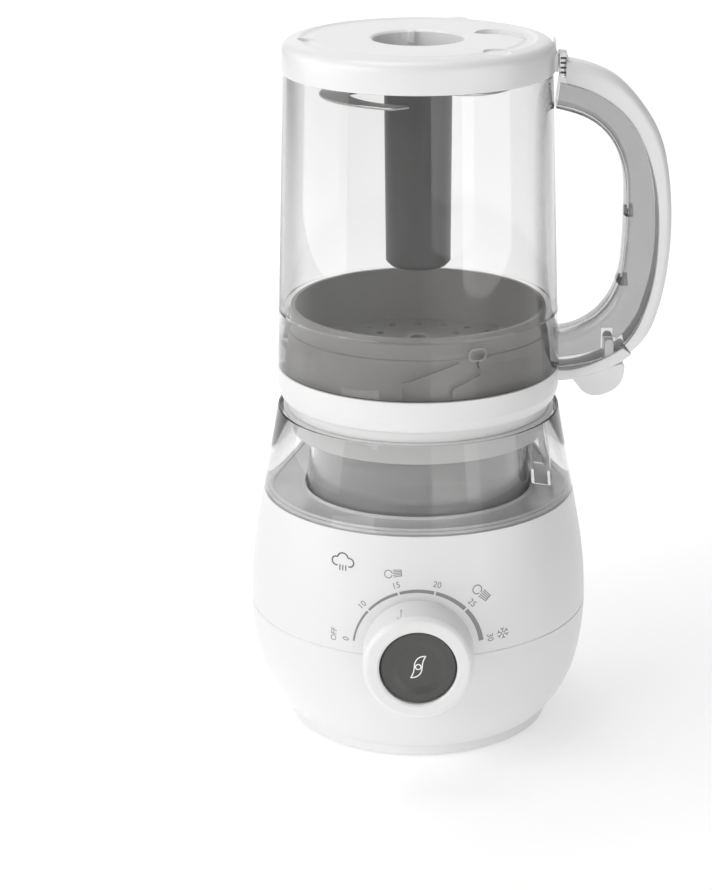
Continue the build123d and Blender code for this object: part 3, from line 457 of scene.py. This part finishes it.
def cut(piece, tool):
    """Take a tool piece out of a piece and delete the tool."""
    step = piece.modifiers.new("cut", "BOOLEAN")
    step.operation = "DIFFERENCE"
    step.solver = "EXACT"
    step.object = tool
    bake(piece)
    bpy.data.objects.remove(tool)


def bake(piece, sharp=35.0):
    """Apply a piece's modifiers to its mesh."""
    graph = bpy.context.evaluated_depsgraph_get()
    mesh = bpy.data.meshes.new_from_object(piece.evaluated_get(graph))
    piece.modifiers.clear()
    piece.data = mesh
    mesh.polygons.foreach_set("use_smooth", [True] * len(mesh.polygons))
    mesh.set_sharp_from_angle(angle=math.radians(sharp))


def finish_piece(piece, body, slot, *replaced):
    """Attach a piece to the body it rides on and hide the CAD nodes that it stands for. The slot argument is
    not used.
    """
    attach(piece, body)
    if replaced:
        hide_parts(*replaced)


# ---------------------------------------------------------------- jar
low_jar, high_jar = box_mm("jar_wall")
RIM_Z = low_jar[2]
END_Z = high_jar[2]
RIM_R = high_jar[1]
JAR_WALL = 2.2
THIN_WALL = 1.6
TAPER = math.tan(math.radians(1.962))
STEP_UP = 26.0
STEP_OUT = 0.2


def jar_r(z, inset=0.0):
    """Radius of the tapered jar."""
    return RIM_R - (z - RIM_Z) * TAPER - inset


def make_jar():
    """Clear tapered jar with a stepped skirt; the bayonet ribs on its inside are built by make_ribs."""
    step_z = RIM_Z + STEP_UP
    outline = rounded([
        (RIM_R, RIM_Z, 0.4),
        (jar_r(step_z) + STEP_OUT, step_z, 0.3),
        (jar_r(step_z + 0.8), step_z + 0.8, 0.3),
        (jar_r(END_Z), END_Z - 0.05, 0.0),
        (jar_r(END_Z, THIN_WALL), END_Z - 0.05, 0.0),
        (jar_r(step_z + 6, THIN_WALL), step_z + 6, 0.6),
        (jar_r(RIM_Z, JAR_WALL), RIM_Z, 0.4),
    ], 3)
    jar = lathe("jar", outline, MATERIALS["clear_smoke"])
    finish_piece(jar, "jar", "clear_smoke", "jar_wall")


def wall_ribbon(name, path, width, low_r, high_r, material):
    """A rib that follows (angle, height) points on the inside of a round wall."""
    sections = []
    for i, (angle, z) in enumerate(path):
        before = path[max(i - 1, 0)]
        after = path[min(i + 1, len(path) - 1)]
        run = math.radians(after[0] - before[0]) * high_r
        rise = after[1] - before[1]
        length = math.hypot(run, rise)
        across = (-rise / length * width / 2, run / length * width / 2)
        section = []
        for side, radius in ((1, high_r), (1, low_r), (-1, low_r), (-1, high_r)):
            turn = math.radians(angle) + side * across[0] / high_r
            height = z + side * across[1]
            section.append((radius * math.cos(turn), radius * math.sin(turn), height))
        sections.append(section)
    return loft(name, sections, material, 60.0)


TRACKS = (
    # tag, start and corner turn in degrees, corner height, sweep of the ramp in degrees, its rise and steps
    ("upper", 36.1, 0.5, 7.2, 23.5, 8.9, 12),
    ("lower", 14.6, 0.4, 4.6, 11.6, 5.4, 8),
)


def make_ribs():
    """Three bayonet tracks: an upper and a lower ramp with an upright start, and the lug's seat."""
    lug_turn = 29.0
    inner = jar_r(RIM_Z + 10, JAR_WALL) - 1.5
    outer = jar_r(RIM_Z + 10, JAR_WALL) - 0.1
    for i in range(3):
        at = lug_turn - 90.0 + 120.0 * i
        for tag, back, bend, corner, sweep, rise, steps in TRACKS:
            start = at - back
            turned = start + bend
            foot = RIM_Z + 0.8
            knee = RIM_Z + corner
            path = [(start, foot), (start, knee - 1.0), (turned, knee)]
            path += [(turned + sweep * k / steps, knee + rise * k / steps) for k in range(1, steps + 1)]
            rib = wall_ribbon(f"jar_rib_{tag}_{i}", path, 0.9, inner, outer, MATERIALS["tray_grey"])
            finish_piece(rib, "jar", "clear_smoke")
        turns = [math.radians(15 * k) for k in range(24)]
        pill = [(math.copysign(1.4, math.cos(t)) + 2.6 * math.cos(t), 2.6 * math.sin(t)) for t in turns]
        loop = [(at - 4.4 + math.degrees(a / inner), RIM_Z + 19.2 + b) for a, b in pill]
        loop += loop[:1]
        rib = wall_ribbon(f"jar_rib_end_{i}", loop, 0.7, inner + 0.6, outer, MATERIALS["grey_core"])
        finish_piece(rib, "jar", "clear_smoke")


# ---------------------------------------------------------------- handle
# Lines of the handle from its top to its foot, in millimetres outwards and upwards of the jar's rim.
SPLIT = [(-2.0, 128.6), (14.6, 123.4), (27.5, 113.5), (36.5, 98.0), (42.0, 74.0), (42.7, 53.0),
         (40.0, 32.5), (34.0, 17.0), (25.5, 6.8), (12.0, 0.9), (-1.0, -1.0)]
INNER = [(-3.5, 116.4), (12.5, 110.8), (21.4, 102.0), (26.2, 90.0), (27.4, 73.0), (27.0, 54.5),
         (24.3, 36.5), (17.4, 24.5), (9.6, 18.6), (3.0, 16.2), (-2.5, 15.4)]
OUTER = [(-1.0, 138.6), (9.0, 136.6), (22.4, 130.9), (34.0, 119.5), (42.5, 106.0), (47.6, 86.0),
         (49.2, 63.1), (47.8, 42.0), (43.6, 22.0), (38.8, 11.6), (32.7, 5.0)]
GRIP_SPLIT = [(-1.0, 128.9), (7.0, 126.6), (18.0, 121.5), (28.5, 112.5), (36.0, 99.5), (41.5, 80.0),
              (42.9, 61.0), (41.4, 40.0), (37.3, 24.0), (33.5, 15.5), (29.2, 9.6)]
LUGS = ((28.6, 69.9), (27.0, 38.1))
TONGUE_SLOT = (83.8, 89.4)
TONGUE = (84.2, 88.6)


def beside_jar(points):
    """Handle points from distances outwards and upwards of the jar's rim."""
    return [(RIM_R + out, RIM_Z + up) for out, up in points]


def d_section(split, outer, half):
    """Half-round section of the grip, flat towards the clear core."""
    section = []
    steps = 20
    shoulder = 0.22
    depth_power = 0.72
    side_power = 0.62
    for k in range(steps + 1):
        turn = math.pi * k / steps
        reach = shoulder + (1 - shoulder) * math.sin(turn) ** depth_power
        side = math.copysign(abs(math.cos(turn)) ** side_power, math.cos(turn)) * half
        if k in (0, steps):
            reach = 0.05
        point = [s + (o - s) * reach for s, o in zip(split, outer)]
        section.append((point[0], side, point[1]))
    section.append((split[0], -half + 0.8, split[1]))
    section.append((split[0], half - 0.8, split[1]))
    return section


def u_section(split, inner, half, wall):
    """Channel section of the core: two sides and a rounded inner face."""
    span = math.hypot(inner[0] - split[0], inner[1] - split[1])
    toward = ((inner[0] - split[0]) / span, (inner[1] - split[1]) / span)
    flat = []
    for inset in (0.0, wall):
        radius = 5.6 - inset
        deep = span - inset
        side = half - inset
        line = [(0.0, side), (deep - radius, side)]
        for k in range(1, 7):
            turn = math.pi / 2 * k / 6
            line.append((deep - radius + radius * math.sin(turn), side - radius + radius * math.cos(turn)))
        line = line + [(a, -b) for a, b in reversed(line)]
        flat.append(line)
    path = flat[0] + flat[1][::-1]
    return [(split[0] + toward[0] * a, b, split[1] + toward[1] * a) for a, b in path]


def make_handle():
    """White grip over a clear channel with two small lugs and a slot for the lid's tongue."""
    core_half = 9.0
    core_wall = 2.2
    grip_half = 9.9
    split = curve_points(beside_jar(SPLIT), 7)
    inner = curve_points(beside_jar(INNER), 7)
    sections = [u_section(a, b, core_half, core_wall) for a, b in zip(split, inner)]
    core = loft("handle_core", sections, HANDLE_CLEAR)
    fit = [
        (0, RIM_Z - 9), (jar_r(RIM_Z) + 0.05, RIM_Z - 9),
        (jar_r(END_Z) + 0.05, END_Z + 9), (0, END_Z + 9),
    ]
    cut(core, lathe("fit", fit, HANDLE_CLEAR))
    cut(core, lathe("slot", square(*TONGUE_SLOT, RIM_Z - 10, RIM_Z + 13.1), HANDLE_CLEAR))
    finish_piece(core, "jar", "clear_smoke", "jar_handle_core")
    for i, (out, up) in enumerate(LUGS):
        corners = square(out - 0.4, out + 3.2, up - 1.7, up + 1.7, 0.6)
        lug = slab(f"handle_lug_{i}", rounded(corners), -5.8, 5.8, HANDLE_CLEAR, 0.0, "XZ")
        lug.location = (RIM_R * MM, 0.0, RIM_Z * MM)
        finish_piece(lug, "jar", "clear_smoke")
    outer = curve_points(beside_jar(OUTER), 7)
    grip_split = curve_points(beside_jar(GRIP_SPLIT), 7)
    sections = [d_section(a, b, grip_half) for a, b in zip(grip_split, outer)]
    grip = loft("handle_grip_shell", sections, MATERIALS["white_shell"], 50.0)
    cap_r = box_mm("jar_cap")[1][1] + 5.2
    cut(grip, lathe("trim", square(0, cap_r, END_Z - 20, END_Z + 30), MATERIALS["white_shell"]))
    finish_piece(grip, "jar", "white_shell", "handle_grip")


# ---------------------------------------------------------------- lid ring, arm and tab
ARM = [(-5.0, -1.5), (4.1, -2.0), (11.0, -0.5), (18.0, 2.3), (24.0, 5.4), (28.4, 8.2)]
ARM_BACK = [(32.6, 5.2), (28.2, 1.9), (22.0, -1.4), (14.0, -4.2), (5.3, -6.6), (-5.0, -7.4)]
TAB = [(5.6, -6.2), (7.6, -8.6), (11.2, -12.9), (16.2, -14.6), (21.4, -13.6), (25.4, -11.4), (28.6, -7.2),
       (29.6, -1.0)]
TAB_ROOF = [(28.6, 0.5), (24.0, -0.6), (16.0, -3.9), (8.0, -6.1)]
LID_TOP = RIM_Z - 0.3


def beside_lid(points):
    """Arm points from distances outwards and upwards of the lid ring's top edge."""
    return [(RIM_R + out, LID_TOP + up) for out, up in points]


def make_lid():
    """White screw ring with a soft lower edge, its arm, the tongue and the thumb tab."""
    seat = box_mm("lid_ring")[0][2]
    top = LID_TOP
    plug = seat + 5.0
    floor = seat + 9.5
    outline = rounded([
        (0, floor, 0), (RIM_R - 7.5, floor, 0.5), (RIM_R - 7.5, seat, 0.5), (RIM_R - 4.0, seat, 0.6),
        (RIM_R - 4.0, plug, 0.8), (RIM_R - 1.6, plug, 2.4), (RIM_R, plug + 5.0, 3.0), (RIM_R, top, 0.5),
        (RIM_R - 1.3, top, 0.3), (RIM_R - 1.3, top - 2.0, 0), (RIM_R - 3.5, top - 2.0, 0),
        (RIM_R - 3.5, floor + 2.5, 0), (0, floor + 2.5, 0),
    ], 5)
    ring = lathe("lid_shell", outline, MATERIALS["white_shell"], 30.0)
    finish_piece(ring, "lid", "white_shell", "lid_ring")
    half = 9.0
    path = curve_points(beside_lid(ARM), 6) + curve_points(beside_lid(ARM_BACK), 6)
    arm = slab("lid_arm", path, -half, half, MATERIALS["white_shell"], 1.3, "XZ")
    bake(arm)
    cut(arm, lathe("core", square(0, RIM_R - 0.8, seat, top + 9), MATERIALS["white_shell"]))
    finish_piece(arm, "lid", "white_shell")
    inside, outside = TONGUE
    tongue_path = rounded([
        (inside, top + 1.0, 0), (outside, top + 1.0, 0),
        (outside, top + 12.0, 2.1), (inside, top + 12.0, 2.1),
    ])
    tongue = slab("lid_tongue", tongue_path, -7.4, 7.4, MATERIALS["grey_core"], 0.4, "XZ")
    finish_piece(tongue, "lid", "white_shell")
    tab_path = curve_points(beside_lid(TAB), 6) + beside_lid(TAB_ROOF)
    tab = slab("thumb_rest", tab_path, -7.8, 7.8, MATERIALS["white_shell"], 1.6, "XZ")
    finish_piece(tab, "lid", "white_shell", "thumb_tab")


# ---------------------------------------------------------------- cap of the jar
def make_cap():
    """White jar base with a round shoulder, a socket, a dimple, a crescent and a finger pad."""
    high = box_mm("jar_cap")[1]
    bottom = END_Z
    top = high[2]
    rim = high[1]
    socket = 20.0
    floor = bottom + 2.2
    bore = 9.3
    white = MATERIALS["white_shell"]
    outline = rounded([
        (rim, bottom, 0.4), (rim, top - 1.6, 6.5),
        (rim - 7.6, top - 0.05, 2.0), (rim - 9.6, top - 0.75, 1.0),
        (rim - 12.4, top - 0.75, 1.0), (rim - 14.0, top - 0.35, 1.2), (socket + 1.2, top - 0.35, 0.8),
        (socket, top - 1.2, 0.5), (socket, floor, 0.8), (bore, floor, 0.2), (bore, bottom + 0.4, 0.2),
        (socket + 2.0, bottom + 0.4, 0), (socket + 2.0, top - 3.0, 0), (rim - 8.0, top - 3.4, 0),
        (rim - 2.6, top - 8.0, 0), (rim - 2.6, bottom, 0),
    ], 7)
    cap = lathe("jar_base_cap", outline, white, 25.0)
    dimple = bmesh.new()
    bmesh.ops.create_uvsphere(dimple, u_segments=48, v_segments=24, radius=5.6 * MM)
    bmesh.ops.translate(dimple, verts=dimple.verts, vec=Vector((-47.5, -5.0, top + 2.2)) * MM)
    cut(cap, mesh_object("dimple", dimple, white))
    far_edge = curve_points([
        (24.6, 11.4), (27.0, 18.2), (32.0, 21.4), (39.6, 17.4), (45.2, 8.6), (47.6, -3.0),
    ], 6)
    near_edge = curve_points([(45.4, -5.6), (40.8, 0.6), (34.4, 6.4), (27.4, 9.8)], 6)
    cut(cap, slab("crescent", far_edge + near_edge, top - 2.3, top + 2, white))
    pad = rounded(square(27.6, 39.4, -42.0, -28.0, 5.0))
    cut(cap, slab("finger_pad", pad, top - 1.1, top + 2, white))
    finish_piece(cap, "jar", "white_shell", "jar_cap")
    arch = curve_points([
        (11.0, top - 1.9), (13.4, top - 0.8), (17.6, top - 0.05), (21.8, top - 0.6), (24.4, top - 1.9),
    ], 6)
    side = [(11.0, top - 3.0)] + arch + [(24.4, top - 3.0)]
    bump = slab("back_bump", side, 50.0, 54.6, white, 0.3, "XZ")
    finish_piece(bump, "jar", "white_shell")
    side = rounded([
        (58.2, bottom + 0.1, 0.4), (61.2, bottom + 0.1, 0.4), (61.2, bottom + 8.0, 0.8),
        (58.2, bottom + 8.0, 0.8),
    ])
    clip = slab("clip_block", side, -5.6, 5.6, white, 0.4, "XZ")
    finish_piece(clip, "jar", "white_shell", "cap_clip")
    side = [(59.1, bottom + 5.0), (60.3, bottom + 5.0), (60.2, top - 0.2), (59.3, top - 0.2)]
    tab = slab("interlock_tab", side, -4.0, 4.0, white, 0.3, "XZ")
    finish_piece(tab, "jar", "white_shell")
    make_link(bottom)
    key = slab("socket_key", square(-4.6, -1.6, 17.6, 21.0), top - 6.0, top - 0.6, white, 0.5)
    finish_piece(key, "jar", "white_shell")


def make_link(bottom):
    """Clear ribbed piece between the cap's clip and the grip, with the interlock's spring bars."""
    side = rounded([
        (61.5, bottom - 1.6, 0.4), (65.2, bottom - 1.6, 0.4), (65.4, bottom + 7.6, 0.6),
        (61.5, bottom + 8.2, 0.6),
    ])
    block = slab("interlock_link", side, -6.4, 6.4, HANDLE_CLEAR, 0.3, "XZ")
    finish_piece(block, "jar", "clear_smoke", "interlock_tongue")
    for i in range(4):
        low = bottom - 0.4 + 2.1 * i
        side = rounded(square(62.0, 64.6, low, low + 0.9, 0.2), 2)
        bar = slab(f"link_bar_{i}", side, -6.7, -6.45, MATERIALS["dark_grey"], 0.0, "XZ")
        finish_piece(bar, "jar", "dark_grey")


# ---------------------------------------------------------------- tank and seat
TANK_LEAN = 10.33


def make_tank():
    """Clear cone with a stepped foot, over a pale floor, and the inner wall about the core."""
    high = box_mm("water_tank")[1]
    shell_top = box_mm("upper_shell")[1][2]
    wide = high[1]
    top = high[2]
    slope = math.tan(math.radians(TANK_LEAN))
    narrow = wide - (top - shell_top) * slope
    wall = 0.9
    outline = rounded([
        (wide, shell_top + 0.15, 0.3), (narrow, top, 0.8), (narrow - wall, top, 0.8),
        (wide - wall, shell_top + 0.15, 0.3),
    ], 4)
    tank = lathe("tank", outline, TANK_CLEAR, 30.0)
    finish_piece(tank, "main_unit", "clear_smoke", "water_tank")
    inner = 49.3
    step = inner + 3.2
    floor_outline = rounded([
        (wide - 2.4, shell_top + 0.1, 0), (wide - 2.7, shell_top + 1.4, 0.3),
        (wide - 4.4, shell_top + 1.4, 0.2), (wide - 4.6, shell_top + 2.4, 0.3),
        (wide - 6.0, shell_top + 2.4, 0.3), (wide - 6.2, shell_top + 1.9, 0.2),
        (step, shell_top + 1.9, 0.8), (step, shell_top + 3.2, 0.4),
        (inner + 2.6, shell_top + 3.2, 0.4), (inner + 2.6, shell_top + 0.1, 0),
    ], 3)
    floor = lathe("tank_floor", floor_outline, TANK_FLOOR, 30.0)
    finish_piece(floor, "main_unit", "clear_smoke")
    wall_outline = square(inner, inner + 2.0, shell_top + 0.2, top - 2.4)
    inner_wall = lathe("tank_inner_wall", wall_outline, TANK_CLEAR, 30.0)
    finish_piece(inner_wall, "main_unit", "clear_smoke")


# ---------------------------------------------------------------- knob and button
knob_low, knob_high = box_mm("timer_knob")
KNOB_Z = (knob_low[2] + knob_high[2]) / 2
KNOB_FRONT = knob_low[1]
POINTER_TURN = math.radians(17.5)
ABOUT_KNOB = Matrix.Translation((0, 0, KNOB_Z * MM)) @ Matrix.Rotation(math.radians(90), 4, "X")


def make_knob():
    """White timer knob with a soft front ring and a pointer groove."""
    front = -KNOB_FRONT
    back = -knob_high[1]
    wide = (knob_high[0] - knob_low[0]) / 2
    bore = 17.0
    outline = rounded([
        (8.0, back, 0), (wide, back, 0.4), (wide - 0.35, front - 2.4, 2.0), (22.4, front - 0.2, 1.8),
        (bore + 0.9, front, 0.5), (bore, front - 0.7, 0.4), (bore, front - 10.3, 0), (8.0, front - 10.3, 0),
    ], 7)
    knob = lathe("knob_shell", outline, MATERIALS["white_shell"], 28.0, ABOUT_KNOB)
    groove = bmesh.new()
    bmesh.ops.create_cube(groove, size=1.0)
    bmesh.ops.scale(groove, verts=groove.verts, vec=Vector((0.9, 8.6, 2.6)) * MM)
    bmesh.ops.bevel(groove, geom=groove.edges[:], offset=0.3 * MM, segments=3, affect="EDGES")
    turned = Matrix.Rotation(-POINTER_TURN, 4, "Y")
    spot = Matrix.Translation((0, (KNOB_FRONT + 7.6) * MM, KNOB_Z * MM)) @ turned
    groove.transform(spot @ Matrix.Translation((0, 0, (wide + 0.35) * MM)))
    cut(knob, mesh_object("groove", groove, MATERIALS["white_shell"]))
    drop = bmesh.new()
    bmesh.ops.create_uvsphere(drop, u_segments=24, v_segments=16, radius=1.0)
    bmesh.ops.scale(drop, verts=drop.verts, vec=Vector((1.5, 1.3, 1.4)) * MM)
    spot = Matrix.Translation((0, (KNOB_FRONT + 3.6) * MM, KNOB_Z * MM)) @ turned
    drop.transform(spot @ Matrix.Translation((-0.6 * MM, 0, (wide - 0.1) * MM)))
    cut(knob, mesh_object("drop", drop, MATERIALS["white_shell"]))
    finish_piece(knob, "knob", "white_shell", "timer_knob")


def make_button():
    """Dark push button with a dished ring."""
    low, high = box_mm("blend_button")
    front = -low[1]
    wide = (high[0] - low[0]) / 2
    outline = rounded([
        (0, front - 1.25, 0), (9.6, front - 1.25, 3.0), (11.0, front - 0.7, 2.0), (12.6, front - 0.1, 2.5),
        (wide - 0.6, front, 0.9), (wide, front - 1.0, 0.6), (wide, front - 9.0, 0),
        (wide - 2.0, front - 9.0, 0), (wide - 2.0, front - 3.4, 0), (0, front - 3.4, 0),
    ], 7)
    button = lathe("button_cap", outline, MATERIALS["dark_grey"], 40.0, ABOUT_KNOB)
    finish_piece(button, "button", "dark_grey", "blend_button")
    return front - 1.25


def make_spring():
    """Return spring of the button: a copy of the CAD spring in its place."""
    node = nodes["button_spring"]
    spring = bpy.data.objects.new("return_spring", node.data.copy())
    spring.matrix_world = node.matrix_world.copy()
    bpy.context.scene.collection.objects.link(spring)
    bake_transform(spring)
    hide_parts("button_spring")


# ---------------------------------------------------------------- printed marks
def stroke(points, width, closed=False):
    """Flat quads along a line, as (four corners) lists."""
    quads = []
    sides = []
    count = len(points)
    for i, (a, b) in enumerate(points):
        before = points[i - 1] if (i or closed) else points[i]
        after = points[(i + 1) % count] if (i < count - 1 or closed) else points[i]
        run = (after[0] - before[0], after[1] - before[1])
        length = math.hypot(*run) or 1.0
        across = (-run[1] / length * width / 2, run[0] / length * width / 2)
        sides.append(((a + across[0], b + across[1]), (a - across[0], b - across[1])))
    last = count if closed else count - 1
    for i in range(last):
        here, there = sides[i], sides[(i + 1) % count]
        quads.append([here[0], here[1], there[1], there[0]])
    return quads


def arc(centre, radius, start, end, steps=16):
    """Points on a circle between two angles in degrees."""
    turns = [math.radians(start + (end - start) * k / steps) for k in range(steps + 1)]
    return [(centre[0] + radius * math.cos(t), centre[1] + radius * math.sin(t)) for t in turns]


def placed(shapes, spot, turn, scale=1.0):
    """Flat shapes turned, scaled and moved to a spot."""
    c, s = math.cos(math.radians(turn)) * scale, math.sin(math.radians(turn)) * scale
    return [[(spot[0] + a * c - b * s, spot[1] + a * s + b * c) for a, b in shape] for shape in shapes]


def letters(text, height):
    """Flat faces of a line of text, centred on the origin."""
    data = bpy.data.curves.new("letters", "FONT")
    data.body = text
    data.size = 1.0
    data.align_x = "CENTER"
    data.align_y = "CENTER"
    data.resolution_u = 3
    source = bpy.data.objects.new("letters", data)
    bpy.context.scene.collection.objects.link(source)
    graph = bpy.context.evaluated_depsgraph_get()
    mesh = bpy.data.meshes.new_from_object(source.evaluated_get(graph))
    capital_share = 0.7
    scale = height / capital_share
    faces = []
    for face in mesh.polygons:
        faces.append([tuple(mesh.vertices[i].co[k] * scale for k in (0, 1)) for i in face.vertices])
    bpy.data.objects.remove(source)
    bpy.data.meshes.remove(mesh)
    return faces


RAY_START = -0.3


class Surface:
    """The front of the body, to print on."""

    def __init__(self, *names):
        graph = bpy.context.evaluated_depsgraph_get()
        self.trees = [BVHTree.FromObject(nodes[name], graph) for name in names]

    def depth(self, x, z):
        """Y in millimetres of the nearest surface in front at X and Z."""
        best = None
        for tree in self.trees:
            start = Vector((x * MM, RAY_START, z * MM))
            hit = tree.ray_cast(start, Vector((0, 1, 0)))[0]
            if hit is not None and (best is None or hit.y < best):
                best = hit.y
        return best / MM


def printed(name, shapes, material, depth, body, slot, lift=0.04, thick=0.05):
    """Thin closed marks from flat (x, z) shapes, laid on a surface."""
    shape = bmesh.new()
    for outline in shapes:
        corners = []
        for x, z in outline:
            corners.append(shape.verts.new((x * MM, (depth(x, z) - lift) * MM, z * MM)))
        shape.faces.new(corners)
    bmesh.ops.remove_doubles(shape, verts=shape.verts, dist=0.002 * MM)
    bmesh.ops.recalc_face_normals(shape, faces=shape.faces)
    grown = bmesh.ops.extrude_face_region(shape, geom=shape.faces[:])
    moved = [item for item in grown["geom"] if isinstance(item, bmesh.types.BMVert)]
    bmesh.ops.translate(shape, verts=moved, vec=(0, -thick * MM, 0))
    piece = mesh_object(name, shape, material, 20.0)
    finish_piece(piece, body, slot)
    return piece


def make_dial(surface):
    """Time scale about the knob: a growing arc, its numbers and the OFF mark."""
    stops = [(0, 173.0), (10, 140.0), (15, 107.5), (20, 75.0), (25, 42.5), (30, 8.0)]
    zero, full = stops[0][1], stops[-1][1]
    gap = 0.9
    outer = 29.2
    thin = 0.75
    growth = 1.35
    reach = 32.2
    steps = 12
    middle = KNOB_Z - 1.2
    band = []
    for (_, start), (_, end) in zip(stops, stops[1:]):
        first = start - (gap if start < zero else 0)
        last = end + (gap if end > full else 0)
        rim = []
        for k in range(steps + 1):
            turn = first + (last - first) * k / steps
            width = thin + growth * (zero - turn) / (zero - full)
            c, s = math.cos(math.radians(turn)), math.sin(math.radians(turn))
            inner = outer - width
            rim.append(((outer * c, middle + outer * s), (inner * c, middle + inner * s)))
        for a, b in zip(rim, rim[1:]):
            band.append([a[0], a[1], b[1], b[0]])
    printed("dial_band", band, GREY_PRINT, surface.depth, "main_unit", "white_shell")
    marks = []
    for value, turn in stops:
        spot = (reach * math.cos(math.radians(turn)), middle + reach * math.sin(math.radians(turn)))
        marks += placed(letters(str(value), 2.7), spot, turn - 90.0)
    marks += placed(letters("OFF", 2.5), (-37.4, KNOB_Z + 3.8), 86.0)
    printed("dial_numbers", marks, GREY_PRINT, surface.depth, "main_unit", "white_shell")


def make_pictures(surface):
    """Cloud with drops, two sliced vegetables and a snowflake."""
    cloud = arc((-2.9, -0.2), 1.9, 285, 75, 14) + arc((0.0, 1.3), 2.3, 160, 20, 14)
    cloud += arc((2.9, -0.2), 1.9, 105, -105, 14)
    shapes = stroke(cloud, 0.6)
    for x in (-1.3, 0.0, 1.3):
        shapes += stroke([(x, -1.6), (x - 0.1, -4.0)], 0.45)
    printed("cloud_mark", placed(shapes, (-33.2, KNOB_Z + 37.6), 0, 1.0), DARK_PRINT, surface.depth,
            "main_unit", "white_shell")
    slice_shapes = stroke(arc((-2.4, 0), 1.7, 0, 342, 20), 0.4)
    for y in (-1.5, -0.75, 0.0, 0.75, 1.5):
        slice_shapes += stroke([(-0.2, y), (3.4, y * 0.85)], 0.34)
    slice_shapes += stroke([(3.4, -1.4), (3.4, 1.4)], 0.34)
    marks = placed(slice_shapes, (-10.7, KNOB_Z + 34.8), 8)
    marks += placed(slice_shapes, (28.0, KNOB_Z + 24.4), -44, 1.15)
    flake = []
    for k in range(6):
        turn = 60 * k + 90
        arm = stroke([(0.5, 0), (2.3, 0)], 0.4) + stroke([(1.7, 0), (2.5, 0.7)], 0.34)
        arm += stroke([(1.7, 0), (2.5, -0.7)], 0.34)
        flake += placed(arm, (0, 0), turn)
    marks += placed(flake, (37.6, KNOB_Z + 4.2), 8)
    printed("food_marks", marks, GREY_PRINT, surface.depth, "main_unit", "white_shell")


def make_button_mark(front):
    """White two-winged blade on the button."""
    side = [(3.1, 5.2), (0.6, 4.6), (-1.2, 2.7), (-1.7, 0.0), (-2.0, -2.6), (-3.1, -5.2)]
    side = curve_points(side, 5)[:-1]
    leaf = side + [(-a, -b) for a, b in side]
    shapes = stroke(leaf, 0.5, True) + stroke(arc((0, 0), 1.2, 0, 345, 20), 0.5, True)
    shapes = placed(shapes, (0, KNOB_Z), -2)
    printed("blade_mark", shapes, WHITE_PRINT, lambda x, z: -front, "button", "dark_grey", 0.01, 0.06)


# ---------------------------------------------------------------- blades and hub
def make_coupling():
    """Dark drive socket with splines, deep in the jar's base."""
    low, high = box_mm("jar_coupling")
    dark = MATERIALS["dark_grey"]
    ring = slab("spline_ring", arc((0, 0), high[0], 0, 355, 71), low[2], high[2] - 4.3, dark, 0.4)
    bake(ring)
    splines = 6
    star = []
    for k in range(72):
        turn = math.radians(5 * k)
        radius = 7.4 + 1.3 * math.cos(splines * turn)
        star.append((radius * math.cos(turn), radius * math.sin(turn)))
    cut(ring, slab("star", star, low[2] + 1.5, high[2] + 2.0, dark))
    finish_piece(ring, "blade_unit", "dark_grey", "jar_coupling")


def make_blade_unit():
    """Two thin bevelled sickles, each the other turned by half a turn."""
    low, high = box_mm("blades")
    tip = (-10.8, -46.752)
    back = (-3.696, -42.336)
    outer = curve_points([(-6.0, 10.0), (-26.0, 14.0), (-43.0, -8.0), (-34.0, -32.0), tip], 8)
    inner = curve_points([back, (-26.0, -26.0), (-29.0, -12.0), (-14.0, -6.0), (-6.0, -8.0)], 8)
    for i, side in enumerate((1, -1)):
        outline = [(side * a, side * b) for a, b in outer + inner]
        blade = slab(f"blade_{i}", outline, low[2], high[2], MATERIALS["steel"], 0.45, "XY", 25.0)
        finish_piece(blade, "blade_unit", "steel", *(["blades"] if i == 0 else []))


make_camera()
make_lights()
make_floor()
dress_nodes()
make_jar()
make_ribs()
make_handle()
make_lid()
make_cap()
make_tank()
make_knob()
button_front = make_button()
make_button_mark(button_front)
make_spring()
body_front = Surface("upper_shell", "lower_shell")
make_dial(body_front)
make_pictures(body_front)
make_blade_unit()
make_coupling()
